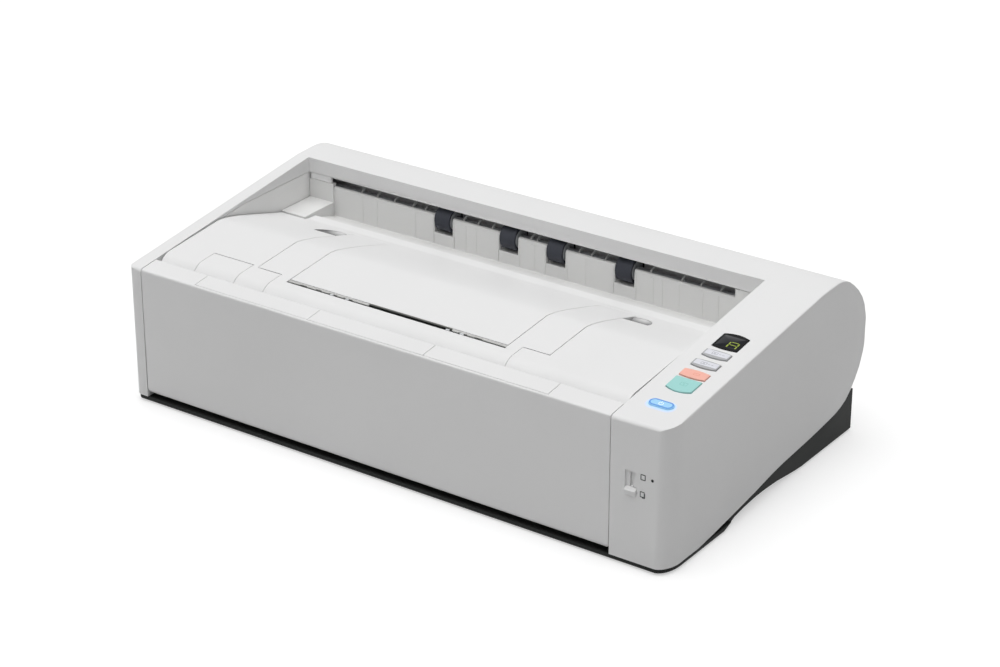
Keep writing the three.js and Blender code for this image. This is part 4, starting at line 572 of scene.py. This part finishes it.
# painted shade: flat dark pads on the plugs' tops stand for the shade in their openings
plug_slots = [flat_plate(x + step, y, 0.45, 1.2, corner=0.2, low=19.3, high=19.5, edge=0.02)
              for x, y in plug_at for step in (-2.7, -0.9, 0.9, 2.7)]
skin("board_plugs", plugs, nylon, "main_body")
skin("board_plug_slots", plug_slots, painted_shade_grey, "main_body")


# Underside: six steel screws hold the casing on the pan, their heads sunk in a cone for the
# driver, and a blank foil label sits between the rear ones.
screw_head = [(3.2, 0.6), (3.2, 0.2), (2.7, 0.02), (1.9, 0), (1, 0.25), (0.1, 0.3)]
screws = [turned(screw_head, x, y, low=0.9) for x in (-150, 0, 150) for y in (22, 226)]
skin("pan_screws", screws, motor_steel, "main_body")
label_foil = moulded_plastic("label_foil", (198, 200, 202), 0.35, depth=0.05)
label = flat_plate(60, 200, 32, 14, corner=2, low=1.38, high=1.52, edge=0.05, points=48)
skin("rating_label", [label], label_foil, "main_body")


# Display: a black window flush with the panel, clear in its middle, over a one-digit light. Its
# segments are light guides moulded in a yellow-green resin.
def on_panel(parts):
    """Places u across, v up the slope and w above the panel put in the scanner: the slope is
    turned by its tilt about the panel's front edge, which is panel_x from the middle and
    panel_z high."""
    panel_x, panel_z, tilt = 190.2, 99, math.radians(6.809)
    across, along, above = np.moveaxis(np.asarray(parts, float), -1, 0)
    return np.stack([panel_x + across, along * math.cos(tilt) - above * math.sin(tilt),
                     panel_z + along * math.sin(tilt) + above * math.cos(tilt)], axis=-1)


def bowed(rows, v, half_u, half_v, front, rear):
    """Rows whose front and rear edges swell out by front and rear in the middle: v grows by the
    bow times 1 - (u / half_u) squared, in the share of the way from the middle to the edge."""
    rows = np.array(rows, float)
    share = (rows[..., 1] - v) / half_v
    swell = 1 - np.clip(rows[..., 0] / half_u, -1, 1) ** 2
    rows[..., 1] += np.where(share > 0, rear, front) * share * swell
    return rows


display_black = moulded_plastic("display_black", (10, 11, 13), 0.2, depth=0.02, shine=0.08)
dress("display", display_black, 0)
window_dark = moulded_plastic("window_dark", (24, 26, 32), 0.12, depth=0.02, drift=6, shine=0.1)
window_v, window_half_u, window_half_v = 104.8, 7.5, 6.2
window = flat_plate(0, window_v, window_half_u, window_half_v, corner=0.8, low=0.2, high=0.34,
                    edge=0.03, points=48)
window = bowed(window, window_v, window_half_u, window_half_v, front=0.8, rear=1.7)
skin("display_window", on_panel([window]), window_dark, "main_body")


def glowing(name, colour, body_colour, level):
    """A light guide: its own colour seen by room light, and the lamp's colour shining through. The
    same glow also makes the painted light that the power key spills on the panel.
    """
    material = moulded_plastic(name, body_colour, 0.4, depth=0.05)
    tree = material.node_tree
    face = tree.nodes["Principled BSDF"].inputs
    marks = next(node for node in tree.nodes if node.type == "GROUP")
    dimmer = light_of(*[part * 0.9 for part in colour])
    lamp_colour = tinted(tree, marks.outputs["Tone"], light_of(*colour), dimmer)
    tree.links.new(lamp_colour, face["Emission Color"])
    face["Emission Strength"].default_value = level
    return material


segment_green = glowing("segment_green", (176, 196, 20), (70, 80, 12), level=0.6)
segment_at = [(0, 9.4, 2.1, 0.45), (0, 4.9, 2.1, 0.42), (-2.7, 7.15, 0.38, 1.9),
              (2.7, 7.15, 0.38, 1.9), (-2.7, 2.4, 0.38, 2), (2.7, 2.4, 0.38, 2)]
segments = np.array([flat_plate(u, v, half_u, half_v, corner=0.3, low=0.3, high=0.4, edge=0.03)
                     for u, v, half_u, half_v in segment_at])
digit_u, digit_v, digit_middle = 3.15, 102.4, 5.15
stretch_u, stretch_v = 1.13, 0.7
segments[..., 0] = digit_u + stretch_u * segments[..., 0]
segments[..., 1] = digit_v + stretch_v * (segments[..., 1] - digit_middle)
skin("display_digit", on_panel(segments), segment_green, "main_body")


# Keys: one row of pressed keys, silver, salmon and mint, each a moulded cap with a small picture
# printed on it. The silver ones have a lighter face; their darker body is painted shade on the
# keys' rounded rims and sides. They sit loose in the panel's openings.
# painted shade: the silver keys' body is darker than their face
key_silver = moulded_plastic("key_silver", (176, 177, 179), 0.35)
key_salmon = moulded_plastic("key_salmon", (248, 184, 168), 0.45)
key_mint = moulded_plastic("key_mint", (160, 216, 212), 0.45)
for key, key_finish in (("grey_button_rear", key_silver), ("grey_button_front", key_silver),
                        ("stop_button", key_salmon), ("start_button", key_mint)):
    dress(key, key_finish, 0)


def printed_line(points, half_width, low, high, closed=True):
    """A printed line as a flat band along a path in u and v: each point is moved by half the
    width to both sides, square to the way there. The rows are the band's rim at low and high."""
    points = np.asarray(points, float)
    if closed:
        ahead, behind = np.roll(points, -1, axis=0), np.roll(points, 1, axis=0)
    else:
        ahead = np.vstack([points[1:], 2 * points[-1] - points[-2]])
        behind = np.vstack([2 * points[0] - points[1], points[:-1]])
    way = ahead - behind
    way /= np.linalg.norm(way, axis=1, keepdims=True)
    out = np.stack([way[:, 1], -way[:, 0]], axis=-1) * half_width
    rows = np.stack([np.column_stack([points + side * out, np.full(len(points), height)])
                     for side, height in ((1, low), (1, high), (-1, high), (-1, low))], axis=1)
    return np.vstack([rows, rows[:1]]) if closed else rows


def sheet_picture(u, v, half_u, half_v, half_width, height):
    """Outline of a sheet of paper, as a printed line 0.03 thick."""
    outline = rounded_outline(half_u, half_v, 0.25, 20) + (u, v)
    return printed_line(outline, half_width, height, height + 0.03)


grey_print = moulded_plastic("grey_print", (150, 151, 158), 0.5, depth=0.05)
face_silver = moulded_plastic("face_silver", (226, 227, 234), 0.35)
for key, v in (("grey_button_rear", 88.3), ("grey_button_front", 75.3)):
    face = flat_plate(0.3, v + 0.25, 8.1, 2.35, corner=0.6, low=0.8, high=0.97, edge=0.05,
                      points=48)
    face = bowed(face, v, half_u=8.4, half_v=2.6, front=1.3, rear=0.8)
    skin(key + "_face", on_panel([face]), face_silver, key)
    pictures = [sheet_picture(u, v, 0.8, 1.1, half_width=0.12, height=0.96) for u in (-2.4, -0.2)]
    skin(key + "_print", on_panel(pictures), grey_print, key, capped=False)
    bars = [flat_plate(u, v, 0.8, 0.14, corner=0.1, low=0.95, high=0.99, edge=0.01)
            for u in (2.4, 4.6)]
    skin(key + "_bars", on_panel(bars), grey_print, key)
salmon_print = moulded_plastic("salmon_print", (232, 148, 120), 0.5, depth=0.05)
salmon_picture = sheet_picture(1.4, 62.2, 2, 0.9, half_width=0.12, height=0.89)
skin("stop_button_print", on_panel([salmon_picture]), salmon_print, "stop_button",
     capped=False)
mint_print = moulded_plastic("mint_print", (128, 196, 188), 0.5, depth=0.05)
mint_picture = sheet_picture(0.4, 49.2, 2.3, 1.5, half_width=0.16, height=0.89)
skin("start_button_print", on_panel([mint_picture]), mint_print, "start_button",
     capped=False)
mint_dot = flat_plate(0.4, 49.2, 0.5, 0.5, corner=0.49, low=0.88, high=0.92, edge=0.01)
skin("start_button_dot", on_panel([mint_dot]), mint_print, "start_button")


# Power key: a clear blue cap with a deeper rim, lit from below. The light it spills on the panel
# round it is painted light: glowing bands laid on the panel. Its round ends and the ring of painted
# light follow the same outline.
key_blue = glowing("key_blue", (150, 206, 244), (150, 196, 228), level=0.25)
dress("power_button", key_blue, 0)
rim_blue = glowing("rim_blue", (84, 140, 208), (84, 140, 208), level=0.28)
# painted light: glowing colours for the light the key spills on the panel
painted_spill_blue = glowing("painted_spill_blue", (196, 224, 250), (196, 222, 244), level=0.2)
painted_spill_faint = glowing("painted_spill_faint", (216, 222, 242), (218, 224, 240), level=0.12)


def hoop(outer, inner, low, high, ahead=0):
    """A flat ring with round ends between two distances outside the key's outline. Its outer edge
    can lie ahead of the inner one, towards the front."""
    key_v, half_u, half_v, corner, points = 24.4, 8.5, 3.8, 3.79, 48
    rings = []
    for grow, height, shift in ((outer, low, ahead), (outer, high, ahead), (inner, high, 0),
                                (inner, low, 0), (outer, low, ahead)):
        outline = rounded_outline(half_u + grow, half_v + grow, corner + grow, points)
        rings.append(np.column_stack([outline + (0, key_v - shift), np.full(points, height)]))
    return np.array(rings)


key_rim = hoop(outer=-0.3, inner=-1.3, low=0.8, high=0.95)
skin("power_key_rim", on_panel([key_rim]), rim_blue, "power_button", capped=False)
# painted light: two glowing bands on the panel round the key
light_ring = hoop(outer=1.1, inner=0.2, low=0.01, high=0.07, ahead=0.5)
skin("power_painted_light_ring", on_panel([light_ring]), painted_spill_blue, "main_body",
     capped=False)
light_edge = hoop(outer=1.9, inner=0.3, low=0.01, high=0.05, ahead=0.9)
skin("power_painted_light_edge", on_panel([light_edge]), painted_spill_faint, "main_body",
     capped=False)
sign_white = glowing("sign_white", (246, 250, 252), (238, 244, 248), level=0.3)
sign_radius, sign_u, sign_v = 1.4, -0.2, 24.3
sweep = np.radians(np.linspace(125, 415, 25))
sign_path = np.column_stack([sign_u + sign_radius * np.cos(sweep),
                             sign_v + sign_radius * np.sin(sweep)])
sign = printed_line(sign_path, half_width=0.2, low=0.88, high=0.97, closed=False)
skin("power_key_sign", on_panel([sign]), sign_white, "power_button")
sign_bar = flat_plate(-0.4, 25.5, 0.22, 1, corner=0.2, low=0.88, high=0.97, edge=0.02)
skin("power_key_bar", on_panel([sign_bar]), sign_white, "power_button")


# Feed switch: a white knob in a slot, with two printed pictures for single sheets and for a pile,
# and a black dot beside them.
dress("feed_switch", casing_white, 0.0002)
ink = moulded_plastic("switch_ink", (66, 68, 70), 0.6, depth=0.05)
ink_dark = moulded_plastic("dot_ink", (16, 16, 17), 0.6, depth=0.05)


def on_front(parts):
    """Pictures drawn flat in x and z with their height laid outwards from the front face."""
    parts = np.asarray(parts, float)
    return np.stack([parts[..., 0], -parts[..., 2], parts[..., 1]], axis=-1)


switch_pictures = [sheet_picture(193.5, 64.4, 1.5, 1.7, half_width=0.32, height=0.01),
                   sheet_picture(193.2, 52.8, 1.4, 1.7, half_width=0.3, height=0.01)]
skin("switch_pictures", on_front(switch_pictures), ink, "main_body", capped=False)
pile_path = [(193, 50.6), (194.9, 50.6), (194.9, 53.8)]
pile = printed_line(pile_path, half_width=0.34, low=0.01, high=0.05, closed=False)
skin("switch_pile", on_front([pile]), ink, "main_body")
dot = flat_plate(200.05, 64.1, 1, 1, corner=0.99, low=0.01, high=0.06, edge=0.01)
skin("switch_dot", on_front([dot]), ink_dark, "main_body")
